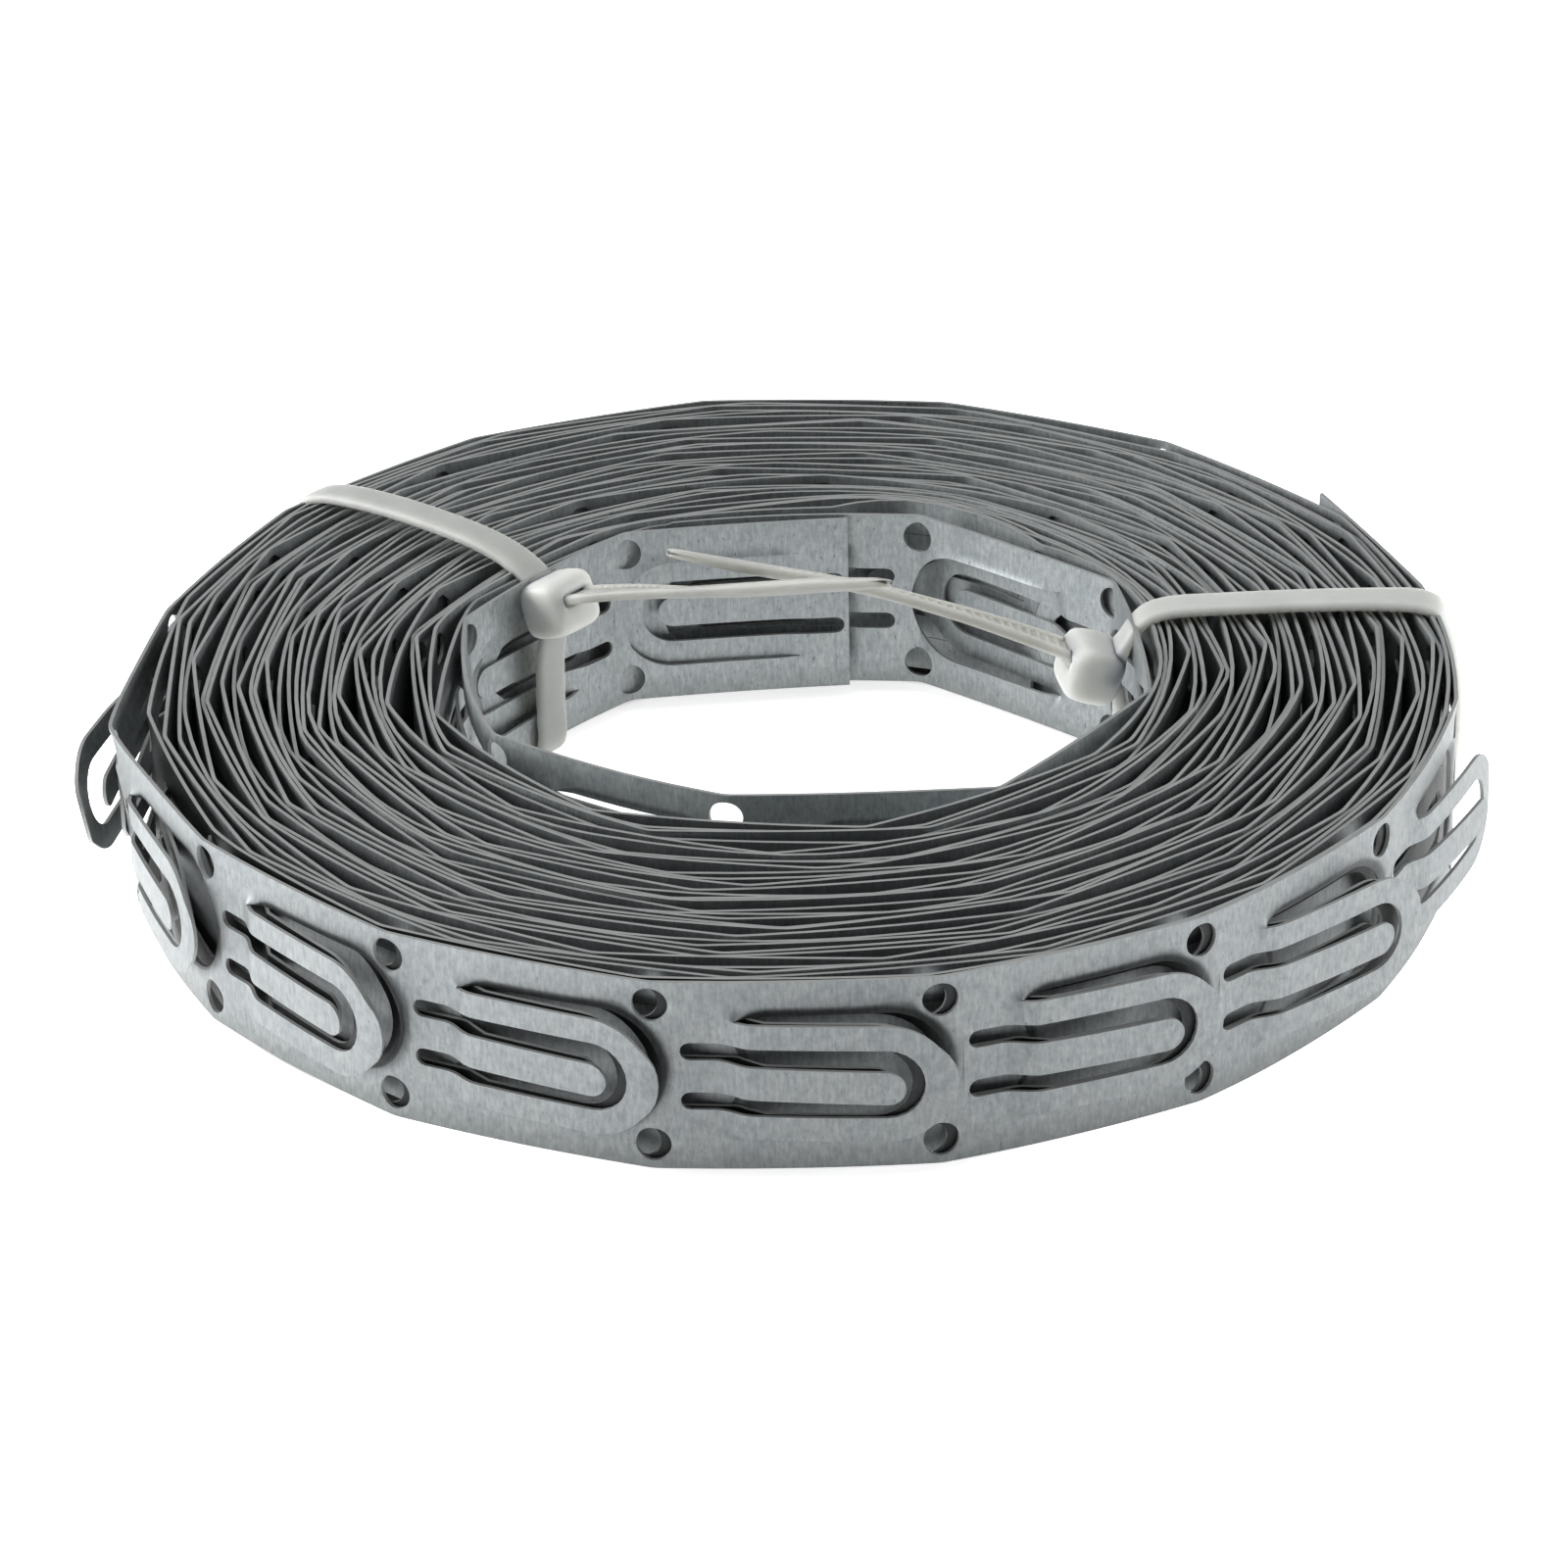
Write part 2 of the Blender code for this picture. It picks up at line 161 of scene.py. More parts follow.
class Winding:
    def __init__(self, pitch):
        self.rho = np.full(SAMPLES, np.nan)
        self.cells = []                     # (angles, radii) of each clip, in order
        self.pitch = pitch

    def at(self, phi):
        x = np.asarray(phi, float) / STEP
        k = np.floor(x).astype(int)
        k = np.clip(k, 0, SAMPLES - 2)
        f = x - k
        a, b = self.rho[k], self.rho[k + 1]
        a = np.where(np.isnan(a), b, a)
        b = np.where(np.isnan(b), a, b)
        return a * (1 - f) + b * f

    def floor(self, phi):
        """Lowest radius that a turn may have at phi, above the turn below."""
        below = self.at(np.maximum(phi - 360.0, 0.0)) + CLEAR + over_bore_clip(np.asarray(phi) - 360.0)
        return np.where(np.asarray(phi) >= 360.0, np.nan_to_num(below, nan=-1e9), -1e9)

    def clip(self, p0, r0, p1, r1, bulge):
        """Curve of one clip between two hole lines, lifted off the turn below."""
        ks = np.arange(math.ceil(p0 / STEP + 1e-9), math.floor(p1 / STEP + 1e-9) + 1)
        phis = np.concatenate([[p0], ks * STEP, [p1]])
        t = (phis - p0) / (p1 - p0)
        y = chord_radius(phis, p0, r0, p1, r1)
        y = y + bulge * PITCH ** 2 / (4.0 * (r0 + r1)) * 4 * t * (1 - t)
        low = self.floor(phis)
        for _ in range(8):
            lack = low - y
            lack[0] = lack[-1] = -1.0
            k = int(np.argmax(lack))
            if lack[k] < 1e-3:
                break
            t0 = min(max(t[k], 0.06), 0.94)
            tent = np.where(t < t0, (t / t0) * (2 - t / t0), ((1 - t) / (1 - t0)) * (2 - (1 - t) / (1 - t0)))
            y = y + tent * lack[k] * 1.02 / max(tent[k], 0.3)
        y[1:-1] = np.maximum(y[1:-1], low[1:-1])
        return phis, y, ks

    def lay(self, p0, r0, p1, r1, bulge):
        phis, y, ks = self.clip(p0, r0, p1, r1, bulge)
        self.rho[ks] = y[1:-1]
        self.cells.append((phis, y))

    def grow(self, p, r, i):
        """Lay clip i from hole line (p, r) and return the next hole line."""
        lift = 0.25 * hash11(i, 1)
        bulge = 0.24 + 0.20 * hash11(i, 2)
        dp = math.degrees(self.pitch / r)
        for _ in range(4):
            p1 = p + dp
            r1 = min(mean_radius(p1) + lift, under_outer(p1))
            r1 = max(r1, float(self.floor(p1)) + 0.02)
            phis, y, _ = self.clip(p, r, p1, r1, bulge)
            a = np.radians(phis)
            length = np.hypot(np.diff(y * np.cos(a)), np.diff(y * np.sin(a))).sum()
            dp *= self.pitch / length
        self.lay(p, r, p1, r1, bulge)
        return p1, r1


OUTER_LINE_R = 62.26                        # middle of the sheet on the outer hole lines


def outer_r(i):
    """Radius of hole line i: the turn is pressed in at line -2 and stands out at line -1."""
    return {-3: 61.9, -2: 61.4, -1: 63.15}.get(i, OUTER_LINE_R)


LINE_FIRST, LINE_LAST = -8, 7
PHI_FIRST = OUTER_PHI - 360.0 - 4.995       # outer turn's first hole line, azimuth 29.005
HINGES_IN = []
for (x, y) in INNER_HINGES:
    a = math.degrees(math.atan2(y, x)) - INNER_AZ
    while HINGES_IN and a < HINGES_IN[-1][0]:
        a += 360.0
    HINGES_IN.append((a, math.hypot(x, y)))
HINGES_IN[0] = (0.0, HINGES_IN[0][1])


def wind(pitch, goal, count=None):
    """Chain of clips up to the outer turn; returns it with the last hole line's angle."""
    w = Winding(pitch)
    for i, (a, b) in enumerate(zip(HINGES_IN, HINGES_IN[1:])):
        w.lay(a[0], a[1], b[0], b[1], 0.10 if i in (0, 7) else 0.30 + 0.22 * hash11(i, 9))
    w.rho[0] = HINGES_IN[0][1]
    p, r = HINGES_IN[-1]
    i = len(HINGES_IN) - 1
    while (count is None and p < goal - 12.0) or (count is not None and i < count):
        p, r = w.grow(p, r, i)
        i += 1
    return w, p, r, i


SECOND_SHIFT = -0.9                         # the turn below's lines against the outer ones


def full_winding():
    goal = PHI_FIRST + 8 * HOLE_STEP - 360.0 + SECOND_SHIFT
    w, p, r, count = wind(25.0, goal)
    pitch = 25.0
    span = goal - HINGES_IN[-1][0]
    for _ in range(4):                      # a hair of stretch brings the chain to its place
        pitch *= 1.0 + (goal - p) / span
        w, p, r, _ = wind(pitch, goal, count)
    phis, y = w.cells.pop()
    w.lay(phis[0], y[0], goal, y[-1], 0.3)
    rest = (PHI_FIRST - goal - 5 * HOLE_STEP) / 3
    p, r = goal, y[-1]
    for k in range(1, 9):
        p1 = goal + k * HOLE_STEP if k <= 5 else goal + 5 * HOLE_STEP + (k - 5) * rest
        r1 = max(min(mean_radius(p1) + 0.15 * hash11(k, 3), under_outer(p1)), float(w.floor(p1)) + 0.02)
        if k == 8:
            p1, r1 = PHI_FIRST, OUTER_LINE_R
        w.lay(p, r, p1, r1, 0.26 + 0.12 * hash11(k, 4))
        p, r = p1, r1
    for i in range(LINE_FIRST, LINE_LAST):
        p0 = PHI_FIRST + (i - LINE_FIRST) * HOLE_STEP
        w.lay(p0, outer_r(i), p0 + HOLE_STEP, outer_r(i + 1), 0.36)
    return w, pitch, p


winding, PITCH_USED, P_END = full_winding()

# The path of the sheet's middle: x, y against the length along the strip, which is
# counted from the hole line before the inner end, 25 mm for each clip.
FIRST_U = 1.65                              # where the strip was cut at its inner end
TAIL_U = 23.4                               # and in the last clip at its outer end


def make_path():
    sig, xs, ys = [], [], []
    for i, (phis, y) in enumerate(winding.cells):
        a = np.radians(INNER_AZ + phis)
        x, yy = y * np.cos(a), y * np.sin(a)
        d = np.concatenate([[0.0], np.cumsum(np.hypot(np.diff(x), np.diff(yy)))])
        s0 = FIRST_U if i == 0 else 0.0
        s = i * PITCH + s0 + d / d[-1] * (PITCH - s0)
        sig.append(s[:-1]); xs.append(x[:-1]); ys.append(yy[:-1])
    # the sprung tail: straight on from the last hole line
    n = len(winding.cells)
    az = math.radians(HOLE_AZ + HOLE_STEP * LINE_LAST)
    start = OUTER_LINE_R * np.array([math.cos(az), math.sin(az)])
    tip_az = math.radians(34.0)
    tip = 63.9 * np.array([math.cos(tip_az), math.sin(tip_az)])
    t = np.linspace(0, 1, 24)
    mid_az = (az - 2 * math.pi + tip_az) / 2
    out = np.array([math.cos(mid_az), math.sin(mid_az)])
    pts = start + (tip - start) * t[:, None] + out * (0.15 * 4 * t * (1 - t))[:, None]
    more = pts[-1] + (pts[-1] - pts[-2]) * 3
    sig.append(n * PITCH + t * TAIL_U); xs.append(pts[:, 0]); ys.append(pts[:, 1])
    sig.append([n * PITCH + TAIL_U + 3 * TAIL_U / 23]); xs.append([more[0]]); ys.append([more[1]])
    sig, xs, ys = np.concatenate(sig), np.concatenate(xs), np.concatenate(ys)
    grid = np.arange(FIRST_U, sig[-1], 0.2)
    x, y = np.interp(grid, sig, xs), np.interp(grid, sig, ys)
    for _ in range(2):                      # a bend radius of a few mm on the hole lines
        k = np.array([1, 2, 3, 2, 1]) / 9.0
        for arr in (x, y):
            arr[2:-2] = np.convolve(arr, k, mode='valid')
    return grid, x, y, n


PATH_S, PATH_X, PATH_Y, CELLS = make_path()
PATH_TX = np.gradient(PATH_X, PATH_S)
PATH_TY = np.gradient(PATH_Y, PATH_S)
_len = np.hypot(PATH_TX, PATH_TY)
PATH_TX, PATH_TY = PATH_TX / _len, PATH_TY / _len


def on_path(s):
    x, y = np.interp(s, PATH_S, PATH_X), np.interp(s, PATH_S, PATH_Y)
    tx, ty = np.interp(s, PATH_S, PATH_TX), np.interp(s, PATH_S, PATH_TY)
    n = np.hypot(tx, ty)
    return x, y, ty / n, -tx / n            # the last two: outward normal


# ------------------------------------------------------------------ one clip's sheet
def arc(cu, cv, r, start, end, steps):
    return [(cu + r * math.cos(math.radians(start + (end - start) * k / steps)),
             cv + r * math.sin(math.radians(start + (end - start) * k / steps)))
            for k in range(steps + 1)]


U_LOW, U_HIGH = 2.05, 27.05                 # a template runs between these two lines
SPLIT_ROWS = [-STRIP_W / 2, -LOOP_R, 0.0, LOOP_R, STRIP_W / 2]
SLIT = 0.07                                 # width of the sheared cut round the loop
CUT_U = 7.2                                 # where that cut starts


def slot_outline(n):
    rc = (SLOT_OUT - TONGUE_R) / 2
    mid = (SLOT_OUT + TONGUE_R) / 2
    pts = arc(TIP_U, 0, SLOT_OUT, -90, 90, n * 2)
    pts += arc(SLOT_START + rc, mid, rc, 90, 270, n)
    pts += arc(TIP_U, 0, TONGUE_R, 90, -90, n * 2)
    pts += arc(SLOT_START + rc, -mid, rc, 90, 270, n)
    return pts


def loop_line(r, n, start=CUT_U):
    return [(start, -r)] + arc(TIP_U, 0, r, -90, 90, n) + [(start, r)]


def slit_outline(n):
    """The sheared cut: a thin band along the loop's outer edge."""
    out = loop_line(LOOP_R + SLIT, n)
    inn = loop_line(LOOP_R, n, CUT_U - 0.001)
    return out + inn[::-1]


def in_polygon(pts, poly):
    x, y = pts[:, 0], pts[:, 1]
    inside = np.zeros(len(pts), bool)
    n = len(poly)
    for k in range(n):
        x1, y1 = poly[k]
        x2, y2 = poly[(k + 1) % n]
        hit = ((y1 > y) != (y2 > y))
        with np.errstate(divide='ignore', invalid='ignore'):
            xi = (x2 - x1) * (y - y1) / (y2 - y1) + x1
        inside ^= hit & (x < xi)
    return inside


MAIN, LOOP, TONGUE = 0, 1, 2


class Template:
    """Flat sheet of one clip: vertices (u, v), triangles, and which part each is on."""

    def __init__(self, detail, cut_at=None, u_low=U_LOW, loops=True):
        high = cut_at if cut_at else U_HIGH
        h = STRIP_W / 2
        verts, edges = [], []

        def add_line(pts, closed=False):
            base = len(verts)
            verts.extend(pts)
            n = len(pts)
            for k in range(n if closed else n - 1):
                edges.append((base + k, base + (k + 1) % n))

        arcs = {3: (6, 20, 24), 2: (3, 10, 12), 1: (2, 6, 8)}[detail]
        self.slot = slot_outline(arcs[0]) if loops else None
        self.slit = slit_outline(arcs[1]) if loops else None
        self.holes = []
        if not cut_at:
            n = arcs[2]
            for side in (-1, 1):
                self.holes.append([(PITCH + HOLE_R * math.cos(2 * math.pi * (k + 0.5) / n),
                                    side * HOLE_V + HOLE_R * math.sin(2 * math.pi * (k + 0.5) / n))
                                   for k in range(n)])
        rows = {3: [-h, -HOLE_V, -LOOP_R, 0.0, LOOP_R, HOLE_V, h],
                2: SPLIT_ROWS, 1: SPLIT_ROWS}[detail]
        if detail == 3:
            cols = [4.4, 5.5, 6.1, 6.7, 7.3, 7.9, 8.5, 9.2, 10.8, 12.6, 14.4, 16.2, 18.0,
                    19.6, 21.2, 22.4, 23.3, 24.0, 24.6, 25.0, 25.4, 26.0]
        elif detail == 2:
            cols = [5.4, 6.7, 7.9, 9.1, 11.8, 14.6, 17.4, 20.2, 22.4, 23.6, 24.4, 25.0, 25.6, 26.4]
        else:
            cols = [6.0, 10.0, 14.0, 18.0, 21.4, 23.4, 24.4, 25.0, 25.6]
        cols = [u_low] + [c for c in cols if c < high - 0.2 and c > u_low + 0.2] + [high]
        for u in cols:
            ends = SPLIT_ROWS if u in (u_low, high) else [-h, h]
            add_line([(u, v) for v in ends])
        if detail == 3:
            for v in rows[1:-1]:
                add_line([(u_low, v), (high, v)])
        add_line([(u_low, -h), (high, -h)])
        add_line([(u_low, h), (high, h)])
        for hole in self.holes:
            add_line(hole, True)
        if loops:
            add_line(self.slot, True)
            add_line(self.slit, True)
            if detail == 3:
                for d in (0.28, 0.62, 1.0, 1.5, 2.0):
                    add_line(loop_line(LOOP_R + SLIT + d, arcs[1], 6.0))
        if detail == 3:
            for hole, side in zip(self.holes, (-1, 1)):
                add_line([(PITCH + 1.95 * math.cos(2 * math.pi * k / 20),
                           side * HOLE_V + 1.95 * math.sin(2 * math.pi * k / 20)) for k in range(20)], True)

        v2, _, faces, _, _, _ = delaunay_2d_cdt([Vector(p) for p in verts], edges, [], 0, 1e-5)
        v2 = np.array([(v.x, v.y) for v in v2])
        tris = np.array([f[:] for f in faces if len(f) == 3], int)
        mid = v2[tris].mean(1)
        keep = (mid[:, 0] > u_low - 1e-6) & (mid[:, 0] < high + 1e-6) & (np.abs(mid[:, 1]) < h + 1e-6)
        area = np.abs((v2[tris[:, 1], 0] - v2[tris[:, 0], 0]) * (v2[tris[:, 2], 1] - v2[tris[:, 0], 1])
                      - (v2[tris[:, 2], 0] - v2[tris[:, 0], 0]) * (v2[tris[:, 1], 1] - v2[tris[:, 0], 1]))
        keep &= area > 1e-9
        for hole in self.holes:
            keep &= ~in_polygon(mid, hole)
        part = np.zeros(len(tris), int)
        if loops:
            keep &= ~in_polygon(mid, self.slot)
            keep &= ~in_polygon(mid, self.slit)
            inside = in_polygon(mid, loop_line(LOOP_R, arcs[1], CUT_U))
            tongue = in_polygon(mid, [(0, -TONGUE_R)] + arc(TIP_U, 0, TONGUE_R, -90, 90, 2 * arcs[0]) + [(0, TONGUE_R)])
            part[inside] = LOOP
            part[tongue] = TONGUE
        tris, part = tris[keep], part[keep]
        used = np.unique(tris)
        remap = -np.ones(len(v2), int)
        remap[used] = np.arange(len(used))
        self.v = v2[used]
        self.tris = remap[tris]
        cross = ((self.v[self.tris[:, 1], 0] - self.v[self.tris[:, 0], 0])
                 * (self.v[self.tris[:, 2], 1] - self.v[self.tris[:, 0], 1])
                 - (self.v[self.tris[:, 2], 0] - self.v[self.tris[:, 0], 0])
                 * (self.v[self.tris[:, 1], 1] - self.v[self.tris[:, 0], 1]))
        flip = cross < 0
        self.tris[flip] = self.tris[flip][:, ::-1]
        self.part = np.zeros(len(self.v), int)
        for p in (LOOP, TONGUE):
            self.part[np.unique(self.tris[part == p])] = p
        if loops:                            # the sheet's side of the cut stays in the sheet
            edge = np.unique(self.tris[part == MAIN])
            beyond = np.hypot(np.maximum(self.v[:, 0] - TIP_U, 0), self.v[:, 1]) > LOOP_R + SLIT / 2
            only = np.zeros(len(self.v), bool)
            only[edge] = True
            self.part[only & beyond] = MAIN
        counts = {}
        for a, b, c in self.tris:
            for e in ((a, b), (b, c), (c, a)):
                counts[e] = counts.get(e, 0) + 1
        walls = [(a, b) for (a, b) in counts if (b, a) not in counts]
        ends = []
        for a, b in walls:
            ua, ub = self.v[a, 0], self.v[b, 0]
            on_low = abs(ua - u_low) < 1e-4 and abs(ub - u_low) < 1e-4
            on_high = abs(ua - high) < 1e-4 and abs(ub - high) < 1e-4
            ends.append(1 if on_low else 2 if on_high else 0)
        self.walls = np.array(walls)
        self.ends = np.array(ends)
        self.loops = loops


def joggle(u, start):
    """Step of the raised tongues at their root."""
    return ease((u - start) / (8.9 - 0.2 * (start - 5.5) - 5.5))


def lift(tpl, loop_tip, tongue_tip, twist, dish, start=5.5):
    """How far each vertex of a clip stands out of the strip's own surface."""
    u, v = tpl.v[:, 0], tpl.v[:, 1]
    out = np.zeros(len(u))
    if not tpl.loops:
        return out
    j_loop = min(1.2, 0.62 * loop_tip)
    j_tongue = min(1.4, 0.62 * tongue_tip)
    run = np.maximum(u - 8.7, 0.0)
    w_loop = j_loop * joggle(u, start) + (loop_tip - j_loop) * run / (TIP_U + LOOP_R - 8.7)
    w_loop = w_loop - twist * (v / LOOP_R) * ease((u - 7.0) / 8.0)
    w_tongue = j_tongue * joggle(u, start) + (tongue_tip - j_tongue) * run / (TIP_U + TONGUE_R - 8.7)
    dist = np.where(u > TIP_U, np.hypot(u - TIP_U, v), np.abs(v)) - LOOP_R
    root = j_loop * joggle(np.minimum(u, CUT_U), start) * np.clip(1 - (np.maximum(u, CUT_U) - CUT_U) / 2.4, 0, 1) ** 2
    w_main = np.where(dist <= 0, w_loop if start < 6.0 else 0.0, root * np.clip(1 - dist / 1.6, 0, 1) ** 2)
    round_tip = ease((u - 17.5) / 5.5)      # the dish is wider round the loop's tip
    lip = -dish * np.clip(1 - dist / (1.0 + 1.0 * round_tip), 0, 1) ** 2 * ease((u - CUT_U) / 2.2)
    w_main = np.where((dist > 0) & (u > CUT_U), w_main + lip, w_main)
    out = np.where(tpl.part == LOOP, w_loop, np.where(tpl.part == TONGUE, w_tongue, w_main))
    between = (tpl.part == MAIN) & (u < CUT_U) & (np.abs(v) < SLOT_OUT - 0.5)
    out = np.where(between & (start < 6.0), j_tongue * joggle(u, start), out)
    return out


T_HIGH = Template(3)
T_MID = Template(2)
T_LOW = Template(1, loops=False)
T_FIRST = Template(3, u_low=U_LOW)          # clip 0 starts at the cut
T_TAIL = Template(3, cut_at=TAIL_U)


def burr(tpl):
    """Punched holes pull the sheet in a little round their rims."""
    u, v = tpl.v[:, 0], tpl.v[:, 1]
    d = np.hypot(u - PITCH, np.abs(v) - HOLE_V) - HOLE_R
    return -0.10 * np.clip(1 - d / 0.40, 0, 1)


BURR = {id(t): burr(t) for t in (T_HIGH, T_MID, T_FIRST)}

# Tip heights of loop and tongue on the outer turn, clip by clip (mm above the sheet).
TIPS = {-8: (1.0, 1.2), -7: (1.9, 2.3), -6: (2.3, 2.7), -5: (1.9, 2.4), -4: (0.5, 0.4), -3: (1.9, 2.2),
        -2: (3.9, 2.3), -1: (2.0, 2.2), 0: (2.6, 2.85), 1: (1.85, 2.35), 2: (2.35, 2.9),
        3: (1.95, 2.5), 4: (3.45, 3.5), 5: (3.2, 3.6), 6: (0.5, 0.4), 7: (1.7, 2.0)}


class Sheet:
    """Collects the clips into one mesh."""

    def __init__(self):
        self.co, self.uv, self.tri, self.mat = [], [], [], []
        self.count = 0

    def add(self, tpl, cell, offset, z, first=False, last=False):
        u, v = tpl.v[:, 0], tpl.v[:, 1]
        s = cell * PITCH + u
        x, y, nx, ny = on_path(s)
        n = len(u)
        for side in (0.5, -0.5):
            h = offset + side * STRIP_T
            p = np.stack([x + nx * h, y + ny * h, Z_MID + v + z(s)], 1)
            p[:, :2] += AXIS
            self.co.append(p)
            self.uv.append(np.stack([s, v], 1))
        a = self.count
        front = tpl.tris[:, ::-1] + a       # u runs CCW and v up: outward is the other way round
        back = tpl.tris + a + n
        self.tri += [front, back]
        self.mat += [np.zeros(len(front), int), np.full(len(back), 2)]
        sel = (tpl.ends == 0) | ((tpl.ends == 1) & first) | ((tpl.ends == 2) & last)
        w = tpl.walls[sel]
        w0, w1 = w[:, 0] + a, w[:, 1] + a
        quads = [np.stack([w0, w1, w1 + n], 1), np.stack([w0, w1 + n, w0 + n], 1)]
        for q in quads:
            self.tri.append(q)
            self.mat.append(np.ones(len(q), int))
        self.count += 2 * n


def turn_height(s):
    """Small up and down of each turn's edge, since no turn is quite level."""
    inner = (s / PITCH < 9)
    w = (0.16 * np.sin(s / 61.0 + 1.3) + 0.12 * np.sin(s / 143.0 + 4.0) + 0.05 * np.sin(s / 23.0))
    end = np.clip((CELLS * PITCH - 380.0 - s) / 60.0, 0, 1)      # the outer turn is level
    return w * end * np.where(inner, 0.3, 1.0)


NEST_FIRST, NEST_LAST = -19, -12             # clips of the second turn under clips -3 to 4


def lean(s):
    """The outer turn leans out at its top where it stands out, at hole line -1."""
    d = s - (CELLS - LINE_LAST - 1) * PITCH
    return 0.70 * np.exp(-(d / 11.0) ** 2)


def build_strip():
    sheet = Sheet()
    total = CELLS + 1                       # the tail's clip is the last one
    for c in range(total):
        i = c - CELLS + LINE_LAST           # number of the clip on the outer turn
        if c == total - 1:
            tpl = T_TAIL
        elif c == 0:
            tpl = T_FIRST
        elif i >= LINE_FIRST or c < 9 or NEST_FIRST <= i <= NEST_LAST:
            tpl = T_HIGH
        elif i >= LINE_FIRST - 17 or c < 25:
            tpl = T_MID
        else:
            tpl = T_LOW
        start = 5.5
        if i >= LINE_FIRST:
            loop_tip, tongue_tip = TIPS[i]
            twist, dish = -0.5 if i == -2 else 0.12 * hash11(i, 5), 0.5 if i < LINE_LAST else 0.0
        elif c < 9:
            loop_tip, tongue_tip = {0: (0.45, 0.4), 7: (BORE_CLIP, 1.9), 8: (0.9, 1.0)}.get(c, (1.25, 1.35))
            twist, dish = 0.05 * hash11(c, 6), 0.2
        else:
            gap = room_above(c)
            loop_tip = tongue_tip = max(min(gap, 1.6), 0.0)
            if NEST_FIRST <= i <= NEST_LAST:                # it nests in the outer turn's clip
                o = i - NEST_LAST + 4
                loop_tip, tongue_tip = (min(0.9 * tip, 2.4) for tip in TIPS[o])
                if o in (-2, -1):                           # more room where the outer turn stands out
                    loop_tip, tongue_tip = (3.2, 2.0) if o == -2 else (3.0, 3.1)
                start = 7.9
            twist, dish = 0.0, 0.0
        off = lift(tpl, loop_tip, tongue_tip, twist, dish, start)
        if id(tpl) in BURR and i >= LINE_FIRST:
            off = off + BURR[id(tpl)]
        if i >= LINE_FIRST:
            off = off + lean(c * PITCH + tpl.v[:, 0]) * tpl.v[:, 1] / (STRIP_W / 2)
        sheet.add(tpl, c, off, turn_height, first=(c == 0), last=(c == total - 1))
    return sheet


def room_above(c):
    """Room for the raised tongues of clip c under the next turn."""
    phis, y = winding.cells[c]
    inside = (phis > phis[0] + (phis[-1] - phis[0]) * 0.2)
    above = winding.at(phis[inside] + 360.0)
    return float(np.nanmin(above - y[inside])) - STRIP_T - 0.12


def finish_mesh(name, co, tri, mat, uv, sharp=35.0, merge=0.004):
    mesh = bpy.data.meshes.new(name)
    mesh.from_pydata((co * MM).tolist(), [], tri.tolist())
    mesh.update()
    layer = mesh.uv_layers.new(name="strip")
    loops = tri.reshape(-1)
    layer.data.foreach_set("uv", (uv[loops] * MM).astype(np.float32).ravel())
    mesh.polygons.foreach_set("material_index", mat.astype(np.int32))
    bm = bmesh.new()
    bm.from_mesh(mesh)
    bmesh.ops.remove_doubles(bm, verts=bm.verts[:], dist=merge * MM)
    bmesh.ops.dissolve_degenerate(bm, edges=bm.edges[:], dist=0.002 * MM)
    bm.to_mesh(mesh)
    bm.free()
    mesh.shade_smooth()
    mesh.set_sharp_from_angle(angle=math.radians(sharp))
    ob = bpy.data.objects.new(name, mesh)
    bpy.context.scene.collection.objects.link(ob)
    return ob


# ------------------------------------------------------------------ materials
def new_material(name):
    mat = bpy.data.materials.new(name)
    mat.use_nodes = True
    nt = mat.node_tree
    return mat, nt, nt.nodes["Principled BSDF"]


def ramp(nt, source, stops, x=0):
    node = nt.nodes.new("ShaderNodeValToRGB")
    node.color_ramp.interpolation = 'LINEAR'
    els = node.color_ramp.elements
    while len(els) < len(stops):
        els.new(0.5)
    for e, (pos, col) in zip(els, stops):
        e.position = pos
        e.color = col if len(col) == 4 else (*col, 1.0)
    nt.links.new(source, node.inputs["Fac"])
    return node


def noise(nt, vector, scale, detail=3.0, rough=0.55, distort=0.0):
    node = nt.nodes.new("ShaderNodeTexNoise")
    node.inputs["Scale"].default_value = scale
    node.inputs["Detail"].default_value = detail
    node.inputs["Roughness"].default_value = rough
    node.inputs["Distortion"].default_value = distort
    nt.links.new(vector, node.inputs["Vector"])
    return node


def stretched(nt, source, sx, sy, sz=1.0):
    node = nt.nodes.new("ShaderNodeMapping")
    node.inputs["Scale"].default_value = (sx, sy, sz)
    nt.links.new(source, node.inputs["Vector"])
    return node.outputs["Vector"]


def mix_colour(nt, blend, fac, a, b):
    node = nt.nodes.new("ShaderNodeMix")
    node.data_type = 'RGBA'
    node.blend_type = blend
    node.clamp_result = True
    for sock, val in ((node.inputs["Factor"], fac), (node.inputs["A"], a), (node.inputs["B"], b)):
        if hasattr(val, "is_output"):
            nt.links.new(val, sock)
        elif isinstance(val, (tuple, list)):
            sock.default_value = (*val, 1.0) if len(val) == 3 else val
        else:
            sock.default_value = val
    return node.outputs["Result"]


def maths(nt, op, a, b=None):
    node = nt.nodes.new("ShaderNodeMath")
    node.operation = op
    for sock, val in zip(node.inputs, (a, b)):
        if val is None:
            continue
        if hasattr(val, "is_output"):
            nt.links.new(val, sock)
        else:
            sock.default_value = val
    return node.outputs[0]


